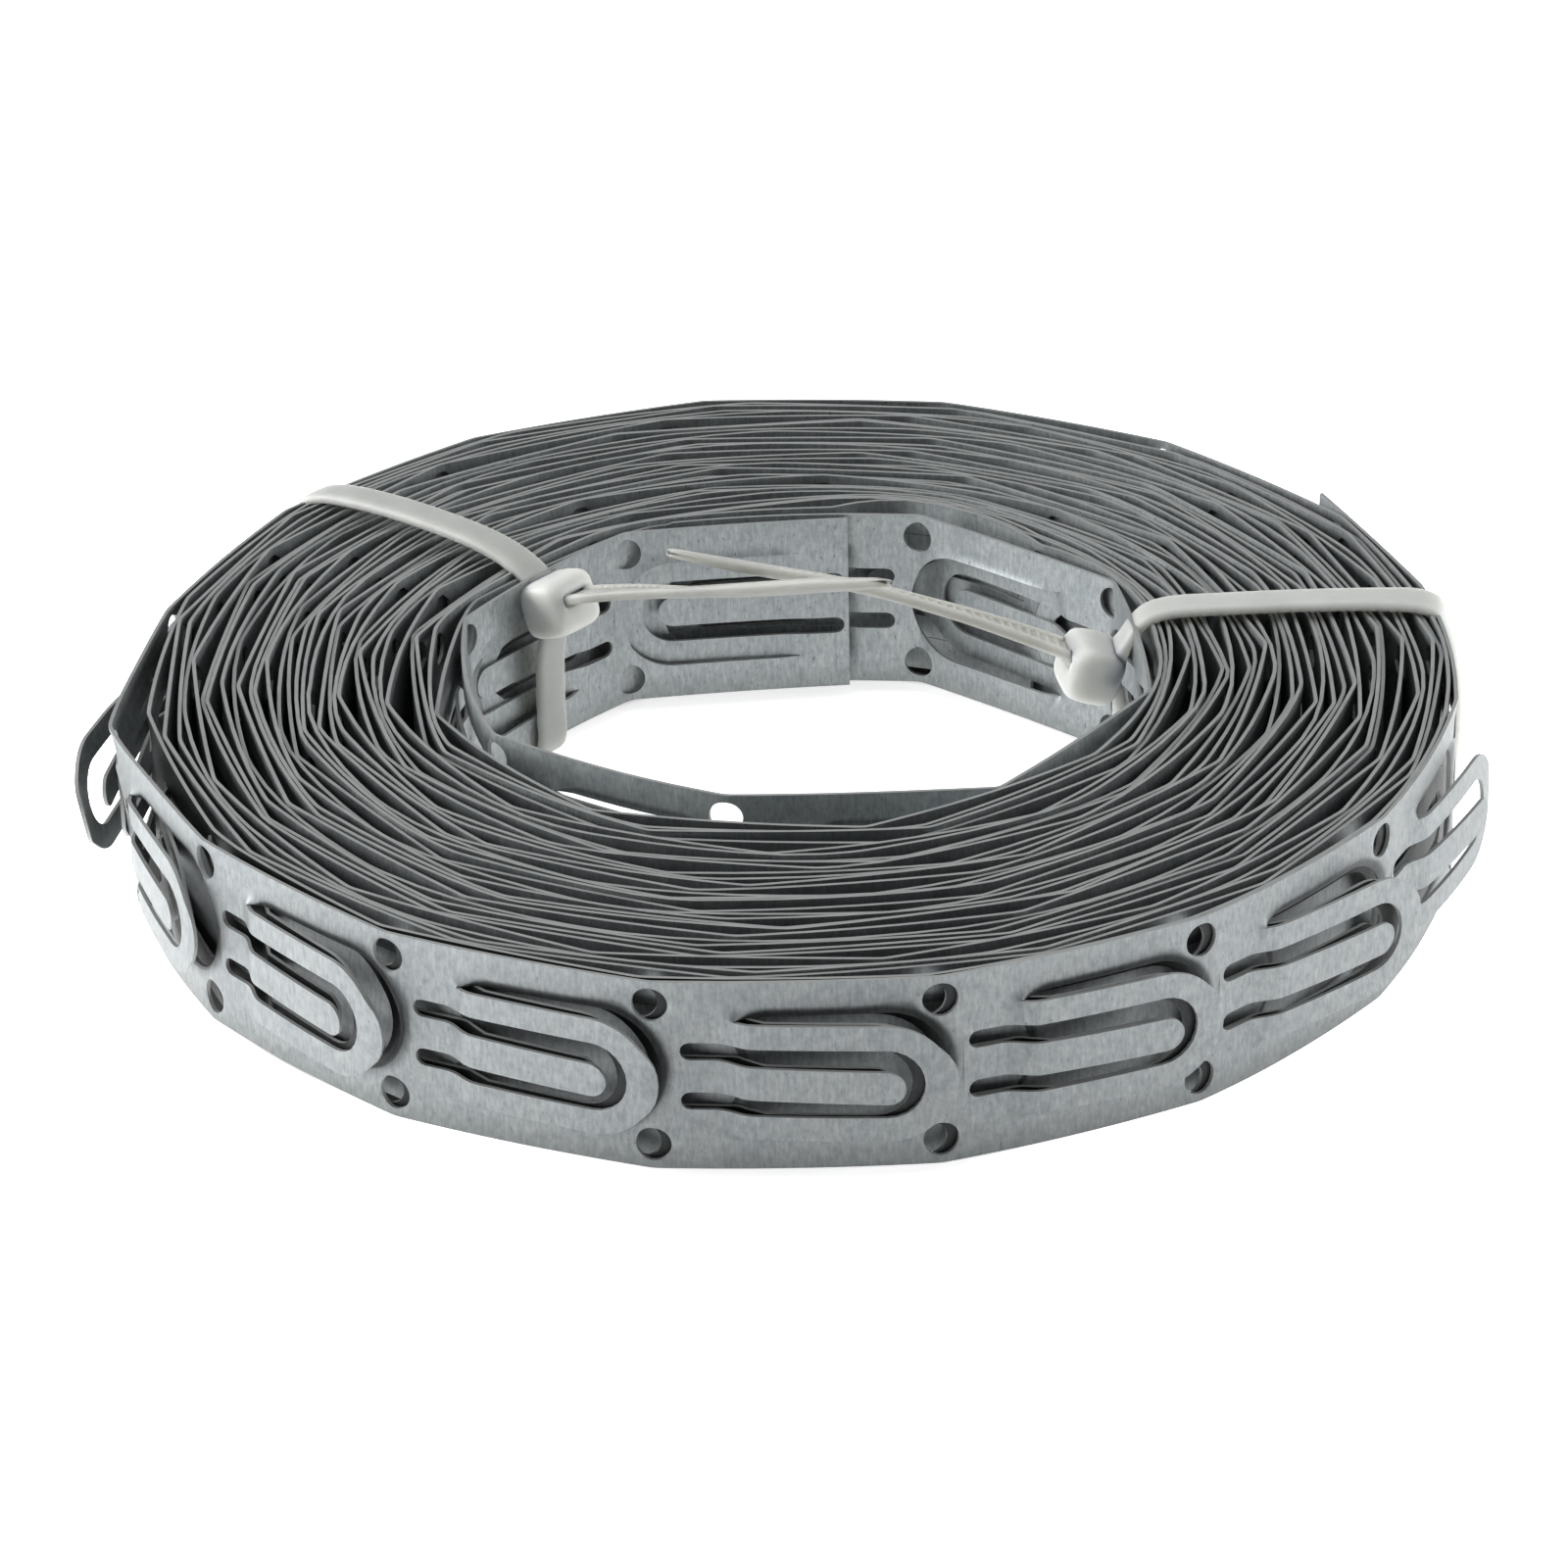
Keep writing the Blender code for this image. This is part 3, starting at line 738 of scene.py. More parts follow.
def crease_painted_shade(nt, s, v):
    """1 on the sheet, darker along the loop's cut as painted shade: wide on its
    upper side, a thin line on its lower side."""
    u = maths(nt, 'ADD', maths(nt, 'FLOORED_MODULO', maths(nt, 'SUBTRACT', s, 0.003), 0.025), 0.003)
    du = maths(nt, 'MAXIMUM', maths(nt, 'SUBTRACT', u, 0.0202), 0.0)
    r = maths(nt, 'SQRT', maths(nt, 'ADD', maths(nt, 'MULTIPLY', du, du), maths(nt, 'MULTIPLY', v, v)))
    d = maths(nt, 'SUBTRACT', r, 0.00562)
    width = nt.nodes.new("ShaderNodeMapRange")
    width.inputs["From Min"].default_value = -0.0045
    width.inputs["From Max"].default_value = 0.0035
    width.inputs["To Min"].default_value = 0.00034
    width.inputs["To Max"].default_value = 0.00105
    nt.links.new(v, width.inputs["Value"])
    start = nt.nodes.new("ShaderNodeMapRange")           # it starts as a point at the cut's end
    start.inputs["From Min"].default_value = 0.0074
    start.inputs["From Max"].default_value = 0.0100
    start.inputs["To Min"].default_value = 0.05
    start.inputs["To Max"].default_value = 1.0
    nt.links.new(u, start.inputs["Value"])
    q = maths(nt, 'DIVIDE', d, maths(nt, 'MULTIPLY', width.outputs["Result"], start.outputs["Result"]))
    near = nt.nodes.new("ShaderNodeMapRange")
    near.interpolation_type = 'SMOOTHSTEP'
    near.inputs["From Min"].default_value = 0.55
    near.inputs["From Max"].default_value = 1.15
    near.inputs["To Min"].default_value = 0.62
    near.inputs["To Max"].default_value = 0.0
    nt.links.new(q, near.inputs["Value"])
    on = maths(nt, 'MULTIPLY', maths(nt, 'GREATER_THAN', d, 0.0), maths(nt, 'GREATER_THAN', u, 0.0072))
    return maths(nt, 'SUBTRACT', 1.0, maths(nt, 'MULTIPLY', near.outputs["Result"], on))


def zinc_material(name, gain, paint_crease_shade, painted_turn_light_and_shade):
    """Galvanised sheet: blue-grey zinc with grain across the strip, faint spangle and pits,
    with painted shade towards its lower edge and, where asked, along the loops' cuts.
    The last argument lists lengths along the strip and how much the colour is scaled
    before each: painted light and painted shade on whole turns."""
    mat, nt, bsdf = new_material(name)
    uv = nt.nodes.new("ShaderNodeUVMap")
    uv.uv_map = "strip"
    p = uv.outputs["UV"]
    grain = noise(nt, stretched(nt, p, 3000.0, 700.0), 1.0, 3.0, 0.6)
    mottle = noise(nt, stretched(nt, p, 1300.0, 1000.0), 1.0, 3.0, 0.65)
    broad = noise(nt, stretched(nt, p, 260.0, 120.0), 1.0, 4.0, 0.6)
    cells = nt.nodes.new("ShaderNodeTexVoronoi")
    cells.inputs["Scale"].default_value = 1.0
    cells.inputs["Randomness"].default_value = 1.0
    nt.links.new(stretched(nt, p, 420.0, 300.0), cells.inputs["Vector"])
    pits = noise(nt, stretched(nt, p, 3400.0, 1250.0), 1.0, 1.0, 0.5)
    base = ramp(nt, grain.outputs["Fac"], [(pos, tuple(gain * c for c in col)) for pos, col in (
        (0.25, (0.226, 0.240, 0.243)), (0.5, (0.283, 0.298, 0.300)), (0.75, (0.345, 0.360, 0.360)))])
    cloud = ramp(nt, broad.outputs["Fac"], [(0.3, (0.85, 0.865, 0.875)), (0.7, (1.0, 1.0, 1.0))])
    c0 = mix_colour(nt, 'MULTIPLY', 1.0, base.outputs["Color"], cloud.outputs["Color"])
    spots = ramp(nt, mottle.outputs["Fac"], [(0.28, (0.78, 0.79, 0.80)), (0.5, (0.93, 0.93, 0.93)), (0.62, (1.0, 1.0, 1.0))])
    c1 = mix_colour(nt, 'MULTIPLY', 1.0, c0, spots.outputs["Color"])
    sep = nt.nodes.new("ShaderNodeSeparateColor")
    nt.links.new(cells.outputs["Color"], sep.inputs["Color"])
    spangle = ramp(nt, sep.outputs["Red"], [(0.0, (0.92, 0.93, 0.94)), (1.0, (1.0, 1.0, 1.0))])
    c2 = mix_colour(nt, 'MULTIPLY', 1.0, c1, spangle.outputs["Color"])
    dark = ramp(nt, pits.outputs["Fac"], [(0.0, (0.0, 0.0, 0.0)), (0.67, (0.0, 0.0, 0.0)), (0.78, (0.75, 0.75, 0.75))])
    c3 = mix_colour(nt, 'MIX', dark.outputs["Color"], c2, (0.10, 0.106, 0.108))
    split = nt.nodes.new("ShaderNodeSeparateXYZ")
    nt.links.new(p, split.inputs["Vector"])
    across = nt.nodes.new("ShaderNodeMapRange")         # 0 on the lower edge, 1 from 2.6 mm up
    across.inputs["From Min"].default_value = -0.00915
    across.inputs["From Max"].default_value = -0.00655
    nt.links.new(split.outputs["Y"], across.inputs["Value"])
    # painted shade: the sheet darkens to 0.74 at its lower edge, where it mirrors the floor's shadow beside the roll
    low = ramp(nt, across.outputs["Result"], [(0.0, (0.74, 0.74, 0.73)), (1.0, (1.0, 1.0, 1.0))])
    c4 = mix_colour(nt, 'MULTIPLY', 1.0, c3, low.outputs["Color"])
    # painted light and painted shade by turn: the colour is scaled before each listed length
    for at, ratio in painted_turn_light_and_shade:
        along = nt.nodes.new("ShaderNodeMapRange")
        along.inputs["From Min"].default_value = (at - 6.0) * MM
        along.inputs["From Max"].default_value = (at + 6.0) * MM
        along.inputs["To Min"].default_value = ratio
        along.inputs["To Max"].default_value = 1.0
        nt.links.new(split.outputs["X"], along.inputs["Value"])
        shade = nt.nodes.new("ShaderNodeVectorMath")
        shade.operation = 'SCALE'
        nt.links.new(c4, shade.inputs[0])
        nt.links.new(along.outputs["Result"], shade.inputs["Scale"])
        c4 = shade.outputs["Vector"]
    # painted shade along the loops' cuts
    if paint_crease_shade:
        c4 = mix_colour(nt, 'MULTIPLY', 1.0, c4, crease_painted_shade(nt, split.outputs["X"], split.outputs["Y"]))
    nt.links.new(c4, bsdf.inputs["Base Color"])
    bsdf.inputs["Metallic"].default_value = 0.92
    rough = ramp(nt, broad.outputs["Fac"], [(0.25, (0.46, 0.46, 0.46)), (0.75, (0.58, 0.58, 0.58))])
    nt.links.new(rough.outputs["Color"], bsdf.inputs["Roughness"])
    bump = nt.nodes.new("ShaderNodeBump")
    bump.inputs["Strength"].default_value = 0.35
    bump.inputs["Distance"].default_value = 0.00002
    nt.links.new(grain.outputs["Fac"], bump.inputs["Height"])
    nt.links.new(bump.outputs["Normal"], bsdf.inputs["Normal"])
    return mat


def edge_material():
    """Sheared and punched edges: brighter, with fine drag marks across the thickness."""
    mat, nt, bsdf = new_material("sheared_edge")
    uv = nt.nodes.new("ShaderNodeUVMap")
    uv.uv_map = "strip"
    drag = noise(nt, stretched(nt, uv.outputs["UV"], 520.0, 520.0), 1.0, 2.0, 0.5)
    patch = noise(nt, stretched(nt, uv.outputs["UV"], 140.0, 140.0), 1.0, 3.0, 0.6)
    base = ramp(nt, drag.outputs["Fac"], [(0.3, (0.290, 0.298, 0.295)), (0.7, (0.334, 0.342, 0.337))])
    tint = ramp(nt, patch.outputs["Fac"], [(0.3, (0.86, 0.87, 0.87)), (0.7, (1.0, 1.0, 0.98))])
    c = mix_colour(nt, 'MULTIPLY', 1.0, base.outputs["Color"], tint.outputs["Color"])
    nt.links.new(c, bsdf.inputs["Base Color"])
    bsdf.inputs["Metallic"].default_value = 0.60
    bsdf.inputs["Roughness"].default_value = 0.60
    return mat


def nylon_material():
    """Natural nylon: milky, slightly warm, light passes a little way into it."""
    mat, nt, bsdf = new_material("natural_nylon")
    tc = nt.nodes.new("ShaderNodeTexCoord")
    cloud = noise(nt, tc.outputs["Object"], 260.0, 3.0, 0.55)
    base = ramp(nt, cloud.outputs["Fac"], [(0.3, (0.315, 0.320, 0.306)), (0.7, (0.350, 0.354, 0.340))])
    milk_and_painted_light = nt.nodes.new("ShaderNodeAttribute")           # thick nylon is milkier than thin, and painted light: the right tie and the heads are painted brighter where the lamps light them less
    milk_and_painted_light.attribute_name = "milk_and_painted_light"
    milk_and_light_scaled = nt.nodes.new("ShaderNodeVectorMath")
    milk_and_light_scaled.operation = 'SCALE'
    nt.links.new(base.outputs["Color"], milk_and_light_scaled.inputs[0])
    nt.links.new(milk_and_painted_light.outputs["Fac"], milk_and_light_scaled.inputs["Scale"])
    nt.links.new(milk_and_light_scaled.outputs["Vector"], bsdf.inputs["Base Color"])
    bsdf.inputs["Roughness"].default_value = 0.48
    bsdf.inputs["IOR"].default_value = 1.53
    bsdf.inputs["Specular IOR Level"].default_value = 0.3
    bsdf.inputs["Subsurface Weight"].default_value = 1.0
    bsdf.inputs["Subsurface Radius"].default_value = (1.0, 0.97, 0.85)
    bsdf.inputs["Subsurface Scale"].default_value = 0.0035
    fine = noise(nt, tc.outputs["Object"], 2600.0, 2.0, 0.5)
    bump = nt.nodes.new("ShaderNodeBump")
    bump.inputs["Strength"].default_value = 0.15
    bump.inputs["Distance"].default_value = 0.00003
    nt.links.new(fine.outputs["Fac"], bump.inputs["Height"])
    nt.links.new(bump.outputs["Normal"], bsdf.inputs["Normal"])
    return mat


OUTER_START = (CELLS - LINE_LAST + LINE_FIRST) * PITCH
# Painted shade: the 17 clips before the outer turn are scaled to 0.14, so its holes and slots look dark. Painted light:
# the first nine clips are scaled up 2.3 times, their inside faces 1.06 times, and all inside faces get gain 1.34
# against 0.72 outside, to brighten the bore wall.
zinc = zinc_material("galvanised_sheet", 0.72, True, [(OUTER_START - 3.0, 0.14), (OUTER_START - 17 * PITCH, 7.1),
                                                      (9 * PITCH, 2.3)])
zinc_inside_painted_light = zinc_material("galvanised_sheet_inside_painted_light", 1.34, False, [(9 * PITCH, 1.06)])
cut_edge = edge_material()
nylon = nylon_material()

sheet = build_strip()
strip = finish_mesh("galvanised_strip_roll", np.concatenate(sheet.co), np.concatenate(sheet.tri),
                    np.concatenate(sheet.mat), np.concatenate(sheet.uv))
strip.data.materials.append(zinc)
strip.data.materials.append(cut_edge)
strip.data.materials.append(zinc_inside_painted_light)
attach(strip, "root")
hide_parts("strip_coil")


# ------------------------------------------------------------------ the two cable ties
TIE_W, TIE_T = 3.6, 1.1
TOOTH = 0.94                                # spacing of the strap's ratchet teeth


class TiePlane:
    """Upright plane of a tie: s runs outwards along az, w across, z up."""

    def __init__(self, az, offset):
        a = math.radians(az)
        self.out = np.array([math.cos(a), math.sin(a), 0.0])
        self.side = np.array([-math.sin(a), math.cos(a), 0.0])
        self.base = np.array([AXIS[0], AXIS[1], 0.0]) + self.side * offset

    def at(self, s, w, z):
        return self.base + self.out * s + self.side * w + np.array([0.0, 0.0, z])

    def wall(self, sign):
        """s of the roll's innermost (-1) or outermost (1) face under the strap."""
        p = np.stack([PATH_X + AXIS[0], PATH_Y + AXIS[1], np.zeros(len(PATH_X))], 1) - self.base
        s, w = p @ self.out, p @ self.side
        s = s[(np.abs(w) < 2.1) & (s > 0)]
        return s.max() + STRIP_T / 2 if sign > 0 else s.min() - STRIP_T / 2


def catmull(pts, spacing):
    """Smooth line through pts, sampled about every `spacing`."""
    pts = [np.array(p, float) for p in pts]
    pts = [2 * pts[0] - pts[1]] + pts + [2 * pts[-1] - pts[-2]]
    line = []
    for a, b, c, d in zip(pts, pts[1:], pts[2:], pts[3:]):
        t0, t1 = 0.0, np.linalg.norm(b - a) ** 0.5
        t2 = t1 + np.linalg.norm(c - b) ** 0.5
        t3 = t2 + np.linalg.norm(d - c) ** 0.5
        for t in np.linspace(t1, t2, 24, endpoint=False):
            a1 = (t1 - t) / (t1 - t0) * a + (t - t0) / (t1 - t0) * b
            a2 = (t2 - t) / (t2 - t1) * b + (t - t1) / (t2 - t1) * c
            a3 = (t3 - t) / (t3 - t2) * c + (t - t2) / (t3 - t2) * d
            b1 = (t2 - t) / (t2 - t0) * a1 + (t - t0) / (t2 - t0) * a2
            b2 = (t3 - t) / (t3 - t1) * a2 + (t - t1) / (t3 - t1) * a3
            line.append((t2 - t) / (t2 - t1) * b1 + (t - t1) / (t2 - t1) * b2)
    line.append(pts[-2])
    line = np.array(line)
    d = np.concatenate([[0], np.cumsum(np.linalg.norm(np.diff(line, axis=0), axis=1))])
    n = max(int(round(d[-1] / spacing)), 2)
    g = np.linspace(0, d[-1], n + 1)
    return np.stack([np.interp(g, d, line[:, k]) for k in range(2)], 1), g


def strap_section(hw, ht, groove, notch):
    """Closed outline (across, towards the roll) of the strap: crowned outside, rails and
    a toothed groove inside. `groove` is the groove's depth here, `notch` the tooth's
    bite out of the lower side edge."""
    half = [(0.62 * hw, -ht + 0.03), (0.82 * hw, -ht + 0.11), (0.94 * hw, -ht + 0.27), (hw, -ht + 0.50),
            (hw, ht - 0.42), (hw - 0.6 * notch, ht - 0.24), (hw - 0.10 - notch, ht - 0.06), (hw - 0.28, ht),
            (0.64 * hw, ht), (0.58 * hw, ht - groove)]
    right = [(0.0, -ht)] + half + [(0.0, ht - groove)]
    left = [(-a, b) for a, b in reversed(half)]
    return right + left


def rounded(hu, hv, n, power):
    """Points of a rounded rectangle (superellipse)."""
    pts = []
    for k in range(n):
        a = 2 * math.pi * (k + 0.5) / n
        c, s_ = math.cos(a), math.sin(a)
        pts.append((hu * math.copysign(abs(c) ** (2 / power), c), hv * math.copysign(abs(s_) ** (2 / power), s_)))
    return pts


def loft(rings, verts, faces, close_ends=True):
    base = len(verts)
    n = len(rings[0])
    for r in rings:
        verts.extend(r)
    for j in range(len(rings) - 1):
        for k in range(n):
            a, b = base + j * n + k, base + j * n + (k + 1) % n
            faces.append((a, b, b + n, a + n))
    if close_ends:
        for j, order in ((0, -1), (len(rings) - 1, 1)):
            mid = len(verts)
            verts.append(np.mean(rings[j], axis=0))
            for k in range(n):
                a, b = base + j * n + k, base + j * n + (k + 1) % n
                faces.append((mid, a, b) if order > 0 else (mid, b, a))


def make_tie(name, plane, over, outside, bore, tail, head, twist_out, twist_tail, head_turn, notch_side, milk_and_painted_light):
    s_in, s_out = plane.wall(-1), plane.wall(1)
    s_b = s_in - 0.30 - TIE_T / 2
    low = TIE_T / 2
    path = list(over) + list(outside)
    last = path[-1][0]
    path += [(last - 0.35, low + 0.75), (last - 1.25, low + 0.08), (last - 4.0, low), (0.5 * (last + s_b), low),
             (s_b + 4.0, low), (s_b + 1.25, low + 0.08), (s_b + 0.35, low + 0.75), (s_b, low + 1.9)]
    path += [(s_b + ds, z) for ds, z in bore]
    tail_start = len(path)
    path += list(tail)
    spacing = TOOTH / 4
    line, dist = catmull(path, spacing)
    total = dist[-1]
    # where along the line the tail begins: the sample nearest to its first given point
    d_tail = dist[int(np.argmin(np.linalg.norm(line - np.array(path[tail_start]), axis=1)
                                + np.where(dist < total * 0.5, 1e3, 0)))]
    d_side = dist[int(np.argmin(np.linalg.norm(line - np.array(outside[len(outside) // 2]), axis=1)))]
    tan = np.gradient(line, axis=0)
    tan /= np.linalg.norm(tan, axis=1)[:, None]
    verts, faces, rings, tone = [], [], [], []
    m_strap, m_head, m_tail = milk_and_painted_light
    for k, (p, t, d) in enumerate(zip(line, tan, dist)):
        inner = np.array([t[1], -t[0]])                 # towards the roll
        left = total - d
        hw, ht = TIE_W / 2, TIE_T / 2
        root = float(ease((4.2 - d) / 3.0))             # the strap widens into its head
        hw += 0.75 * root
        ht += 0.25 * root
        slim = float(ease((left - 0.5) / 8.0))
        hw *= 0.62 + 0.38 * slim
        ht *= 0.80 + 0.20 * slim
        tip = min(left / 1.6, 1.0)
        hw *= 0.30 + 0.70 * math.sqrt(max(1 - (1 - tip) ** 2, 0.0))
        ht *= 0.55 + 0.45 * math.sqrt(max(1 - (1 - tip) ** 2, 0.0))
        toothed = float(ease((d - 6.5) / 1.5)) * float(ease((left - 9.0) / 2.0))
        phase = k % 4
        tooth = (0.0, 0.75, 1.0, 0.25)[phase] * toothed
        scale = min(hw / (TIE_W / 2), 1.0)
        groove = (0.10 + 0.24 * (1 - tooth)) * toothed * scale
        notch = 0.15 * (1 - (0.0, 0.8, 1.0, 0.2)[phase]) * toothed * scale
        sec = strap_section(hw, ht, groove, 0.0)
        cut = strap_section(hw, ht, groove, notch)
        half = len(sec) // 2
        if notch_side > 0:
            sec = cut[:half + 1] + sec[half + 1:]
        else:
            sec = sec[:half + 1] + cut[half + 1:]
        ang = twist_tail * float(ease((d - d_tail) / max(total - d_tail, 1e-6) * 1.6))
        ang += twist_out * math.exp(-((d - d_side) / 9.0) ** 2)
        ca, sa = math.cos(math.radians(ang)), math.sin(math.radians(ang))
        ring = []
        for a, b in sec:
            w = a * ca - b * sa
            q = a * sa + b * ca                          # along `inner`
            ring.append(plane.at(p[0] + inner[0] * q, w, p[1] + inner[1] * q))
        rings.append(ring)
        # brightness per vertex: milkier where the nylon is thick, and painted light brightening the head and its
        # surroundings
        body = m_strap + (m_tail - m_strap) * float(ease((d - d_tail - 3.0) / 5.0))
        near = max(float(ease((4.5 - d) / 4.0)), float(ease((2.5 - abs(d - d_tail)) / 2.0)))
        tone += [body + (m_head - body) * 0.7 * near] * len(ring)
    loft(rings, verts, faces)
    tone += [m_strap, m_tail]

    # the head: a rounded box with a collared slot, thickness along n, length along r
    (hs, hz), tilt = head, math.radians(20.0)
    n_in = np.array([-math.cos(tilt), math.sin(tilt)])   # the way the tail leaves
    r_in = np.array([-math.sin(tilt), -math.cos(tilt)])
    turn = math.radians(head_turn)
    sections = [(-2.2, 0.60, 1.84, 5), (-2.50, 0.68, 1.90, 5), (-2.62, 1.05, 2.15, 4.8), (-2.60, 1.8, 2.50, 4.8),
                (-2.52, 2.25, 2.74, 4.8), (-2.30, 2.55, 2.96, 5), (-1.95, 2.74, 3.08, 5.2), (-1.3, 2.84, 3.15, 5.4),
                (-0.1, 2.88, 3.18, 5.6), (1.0, 2.84, 3.14, 5.4), (1.7, 2.74, 3.04, 5.2), (2.10, 2.52, 2.88, 5),
                (2.34, 2.18, 2.66, 4.8), (2.48, 1.74, 2.44, 4.6), (2.62, 1.30, 2.24, 4.4), (2.70, 0.90, 2.04, 4.4),
                (2.62, 0.68, 1.90, 5), (2.35, 0.60, 1.84, 5)]
    head_rings = []
    for n_, hr, hw, power in sections:
        ring = []
        lift_r = -0.55 if abs(n_) < 0.1 else 0.0
        for r_, w_ in rounded(hr, hw, 56, power):
            shift = 0.50 * float(ease((2.3 - hr) / 1.3))  # the slot sits nearer the strap's root
            rr = r_ - shift
            nn = n_ * math.cos(turn) - w_ * math.sin(turn)
            ww = n_ * math.sin(turn) + w_ * math.cos(turn)
            ring.append(plane.at(hs + n_in[0] * nn + r_in[0] * rr, ww, hz + n_in[1] * nn + r_in[1] * rr))
        head_rings.append(ring)
    loft(head_rings, verts, faces)
    tone += [m_head] * (len(verts) - len(tone))

    mesh = bpy.data.meshes.new(name)
    mesh.from_pydata([tuple(v * MM) for v in np.array(verts)], [], faces)
    mesh.update()
    mesh.attributes.new("milk_and_painted_light", 'FLOAT', 'POINT').data.foreach_set("value", tone)
    bm = bmesh.new()
    bm.from_mesh(mesh)
    bmesh.ops.recalc_face_normals(bm, faces=bm.faces[:])
    bmesh.ops.triangulate(bm, faces=bm.faces[:])
    bm.to_mesh(mesh)
    bm.free()
    mesh.shade_smooth()
    mesh.set_sharp_from_angle(angle=math.radians(48))
    ob = bpy.data.objects.new(name, mesh)
    bpy.context.scene.collection.objects.link(ob)
    mesh.materials.append(nylon)
    return ob


left_tie = make_tie(
    "nylon_tie_left", TiePlane(139.8, 0.0),
    over=[(29.9, 16.3), (30.9, 18.1), (32.0, 19.25), (33.6, 20.15), (35.6, 20.85), (39.0, 21.45), (45.0, 21.7),
          (51.0, 21.6), (56.5, 21.15), (59.6, 20.6)],
    outside=[(61.7, 19.7), (62.9, 18.0), (63.5, 15.5), (63.75, 11.5), (63.8, 7.5), (63.7, 4.0)],
    bore=[(0.05, 5.0), (0.0, 8.0), (-0.1, 10.8), (-0.5, 13.0), (-0.95, 14.9)],
    tail=[(29.6, 17.3), (28.3, 18.1), (26.0, 19.05), (20.3, 21.0), (12.8, 23.2), (6.7, 25.1), (-5.3, 29.2), (-12.0, 31.35)],
    head=(29.1, 17.3), twist_out=0.0, twist_tail=26.0, head_turn=0.0, notch_side=-1, milk_and_painted_light=(1.0, 1.52, 0.72))
# its higher brightness values are painted light: the lamps light this tie less than the left one
right_tie = make_tie(
    "nylon_tie_right", TiePlane(2.17, 6.63),
    over=[(30.3, 14.2), (31.3, 16.0), (32.05, 17.4), (33.0, 18.9), (34.2, 20.1), (36.2, 20.75), (41.4, 20.95),
          (49.8, 21.0), (57.0, 20.8), (60.2, 20.5)],
    outside=[(61.9, 19.75), (62.9, 18.1), (63.75, 15.9), (64.3, 12.9), (64.5, 10.1), (64.4, 7.1), (64.1, 4.2)],
    bore=[(0.05, 5.0), (0.0, 8.5), (-0.05, 11.4), (-0.5, 13.4)],
    tail=[(29.9, 15.0), (28.5, 15.75), (26.2, 16.8), (23.7, 17.9), (18.1, 20.2), (14.3, 21.6), (8.8, 23.5), (5.1, 24.5),
          (-4.2, 26.6), (-11.2, 28.4)],
    head=(28.7, 14.8), twist_out=-20.0, twist_tail=-20.0, head_turn=-10.0, notch_side=-1, milk_and_painted_light=(1.27, 1.7, 0.90))
for ob, node in ((left_tie, "cable_tie_left"), (right_tie, "cable_tie_right")):
    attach(ob, "root")
    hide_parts(node)

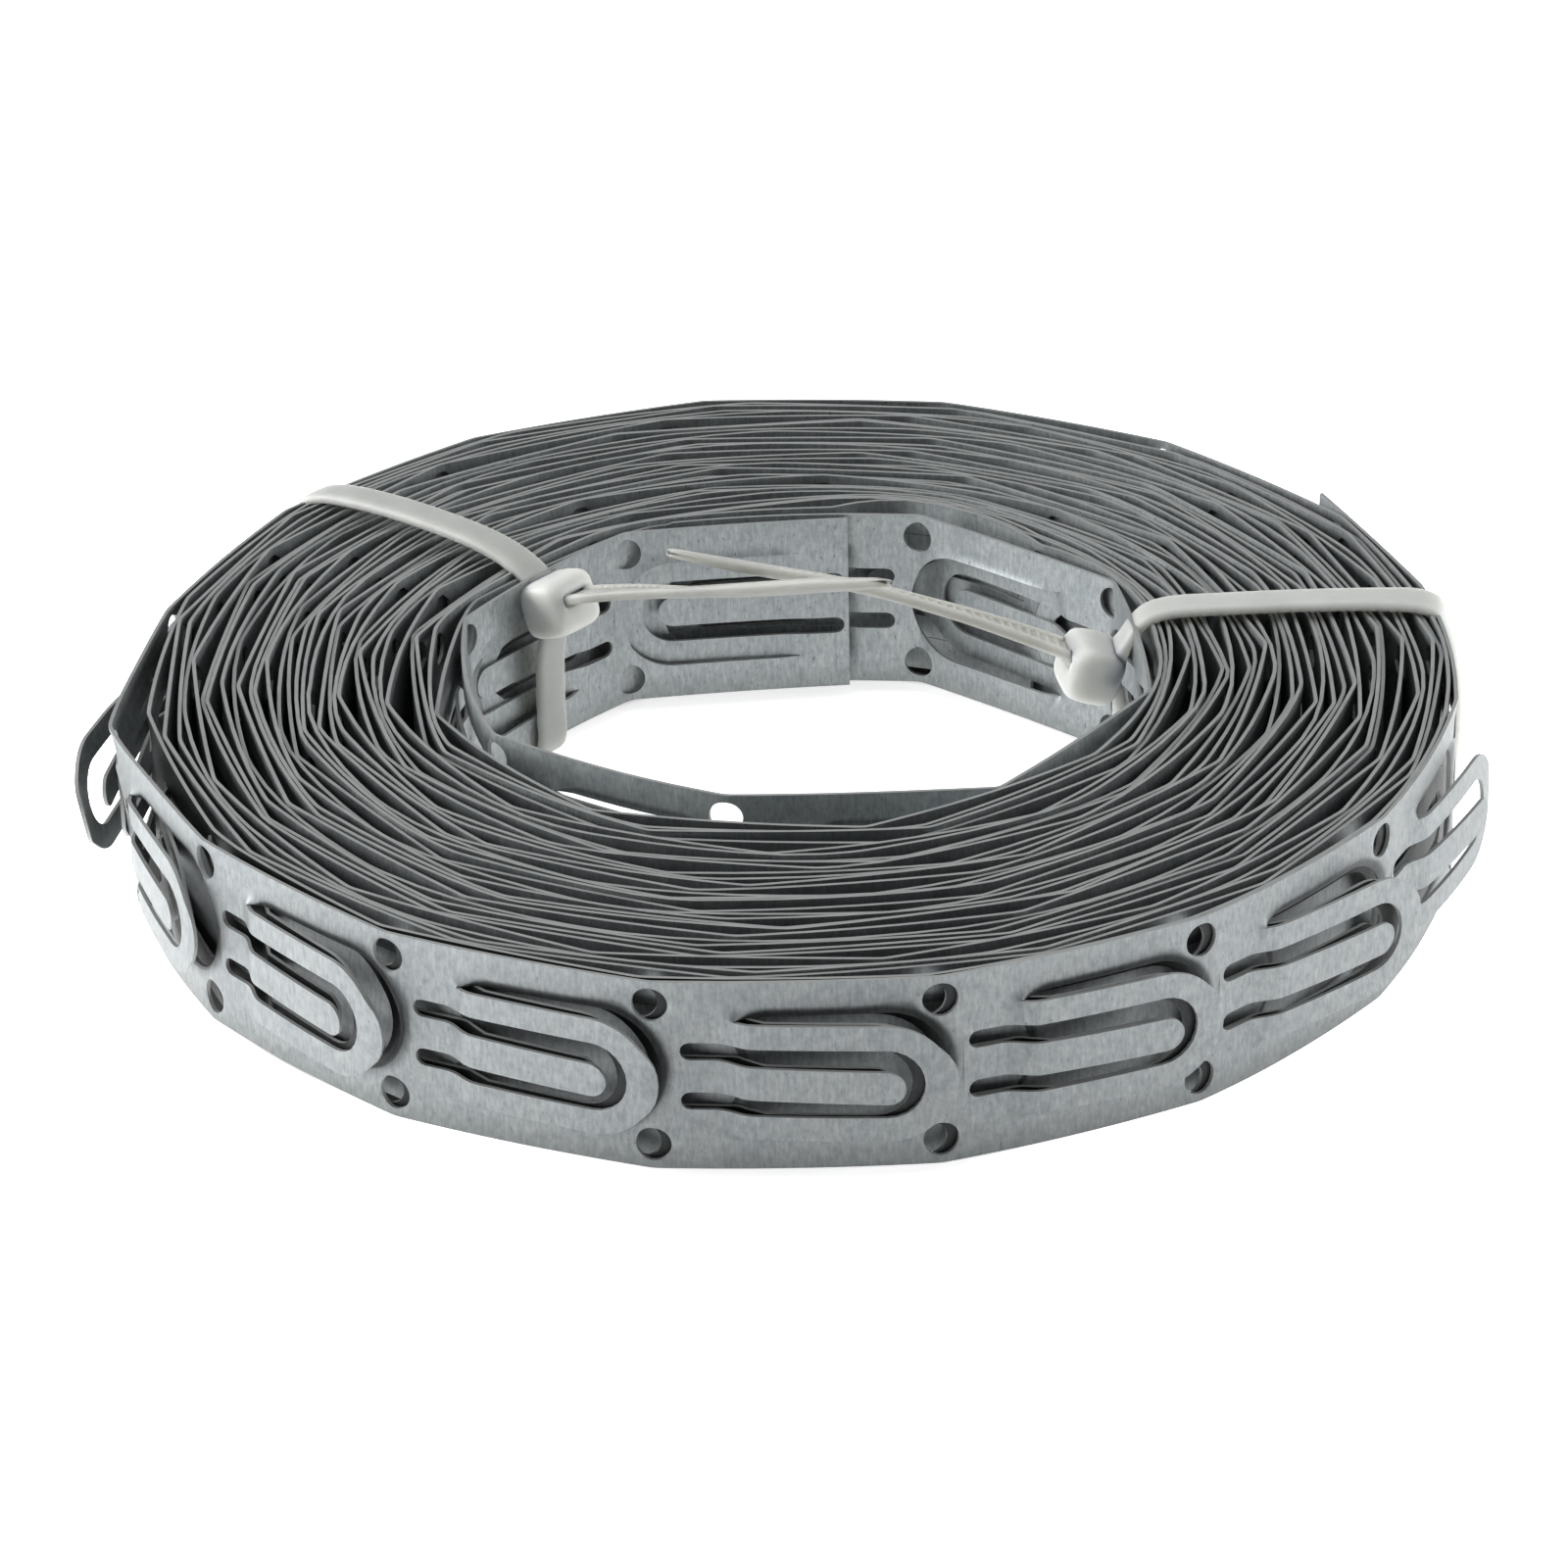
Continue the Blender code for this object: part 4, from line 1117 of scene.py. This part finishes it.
# ------------------------------------------------------------------ floor and light
def make_floor():
    mesh = bpy.data.meshes.new("floor")
    mesh.from_pydata([(-4, -4, 0), (4, -4, 0), (4, 4, 0), (-4, 4, 0)], [], [(0, 1, 2, 3)])
    ob = bpy.data.objects.new("floor", mesh)
    bpy.context.scene.collection.objects.link(ob)
    mat, nt, bsdf = new_material("floor_paper")
    bsdf.inputs["Roughness"].default_value = 0.9
    bsdf.inputs["Specular IOR Level"].default_value = 0.1
    bsdf.inputs["Emission Color"].default_value = (1.0, 1.0, 1.0, 1.0)
    place = nt.nodes.new("ShaderNodeTexCoord")           # lit from below, except under the roll

    def ring(shift, stops):
        moved = nt.nodes.new("ShaderNodeVectorMath")
        moved.operation = 'SUBTRACT'
        nt.links.new(place.outputs["Object"], moved.inputs[0])
        moved.inputs[1].default_value = shift
        far = nt.nodes.new("ShaderNodeVectorMath")
        far.operation = 'LENGTH'
        nt.links.new(moved.outputs["Vector"], far.inputs[0])
        reach = nt.nodes.new("ShaderNodeMapRange")
        reach.inputs["From Min"].default_value = 0.0
        reach.inputs["From Max"].default_value = 0.1
        nt.links.new(far.outputs["Value"], reach.inputs["Value"])
        return ramp(nt, reach.outputs["Result"], [(pos, (g, g, g)) for pos, g in stops]).outputs["Color"]

    inside = ring((0.002, 0.003, 0.0), [(0.335, 0.72), (0.355, 0.0)])
    outside = ring((-0.0026, 0.0012, 0.0), [(0.586, 0.0), (0.596, 1.0)])
    # painted shadow: the floor's colour is dark under the roll, where it shows through holes and gaps
    floor_colour_painted_shadow = ramp(nt, maths(nt, 'ADD', inside, outside), [(0.0, (0.10, 0.10, 0.10)), (0.7, (0.95, 0.95, 0.95))])
    nt.links.new(floor_colour_painted_shadow.outputs["Color"], bsdf.inputs["Base Color"])
    split = nt.nodes.new("ShaderNodeSeparateXYZ")
    nt.links.new(place.outputs["Object"], split.inputs["Vector"])
    sideways = nt.nodes.new("ShaderNodeMapRange")        # stronger to the left and the right
    sideways.inputs["From Min"].default_value = -0.10
    sideways.inputs["From Max"].default_value = 0.10
    nt.links.new(split.outputs["X"], sideways.inputs["Value"])
    side = ramp(nt, sideways.outputs["Result"], [(pos, (g, g, g)) for pos, g in (
        (0.0, 0.96), (0.20, 0.92), (0.32, 0.64), (0.46, 0.31), (0.56, 0.30), (0.70, 0.52), (0.82, 0.77), (1.0, 0.84))])
    side.color_ramp.interpolation = 'EASE'
    lit = maths(nt, 'MULTIPLY', maths(nt, 'MULTIPLY', outside, side.outputs["Color"]), 2.5)
    nt.links.new(maths(nt, 'ADD', inside, lit), bsdf.inputs["Emission Strength"])
    mesh.materials.append(mat)


make_floor()


def area(name, place, target, size, power, colour=(1, 1, 1)):
    data = bpy.data.lights.new(name, 'AREA')
    data.shape = 'RECTANGLE'
    data.size, data.size_y = size
    data.energy = power
    data.color = colour
    ob = bpy.data.objects.new(name, data)
    ob.location = place
    ob.rotation_euler = (Vector(target) - Vector(place)).to_track_quat('-Z', 'Y').to_euler()
    bpy.context.scene.collection.objects.link(ob)


area("top_softbox", (0.0, 0.05, 0.95), (0, 0, 0), (0.9, 0.9), 3.4)
area("left_softbox", (-0.85, 0.02, 0.32), (0, 0, 0), (0.6, 0.5), 12.0)
area("right_softbox", (0.85, 0.05, 0.32), (0, 0, 0), (0.6, 0.5), 6.0)

world = bpy.data.worlds.new("studio")
world.use_nodes = True
world.node_tree.nodes["Background"].inputs["Color"].default_value = (0.96, 0.98, 1.0, 1.0)
world.node_tree.nodes["Background"].inputs["Strength"].default_value = 0.40
bpy.context.scene.world = world
bpy.context.scene.view_settings.view_transform = 'Standard'
bpy.context.scene.view_settings.look = 'None'
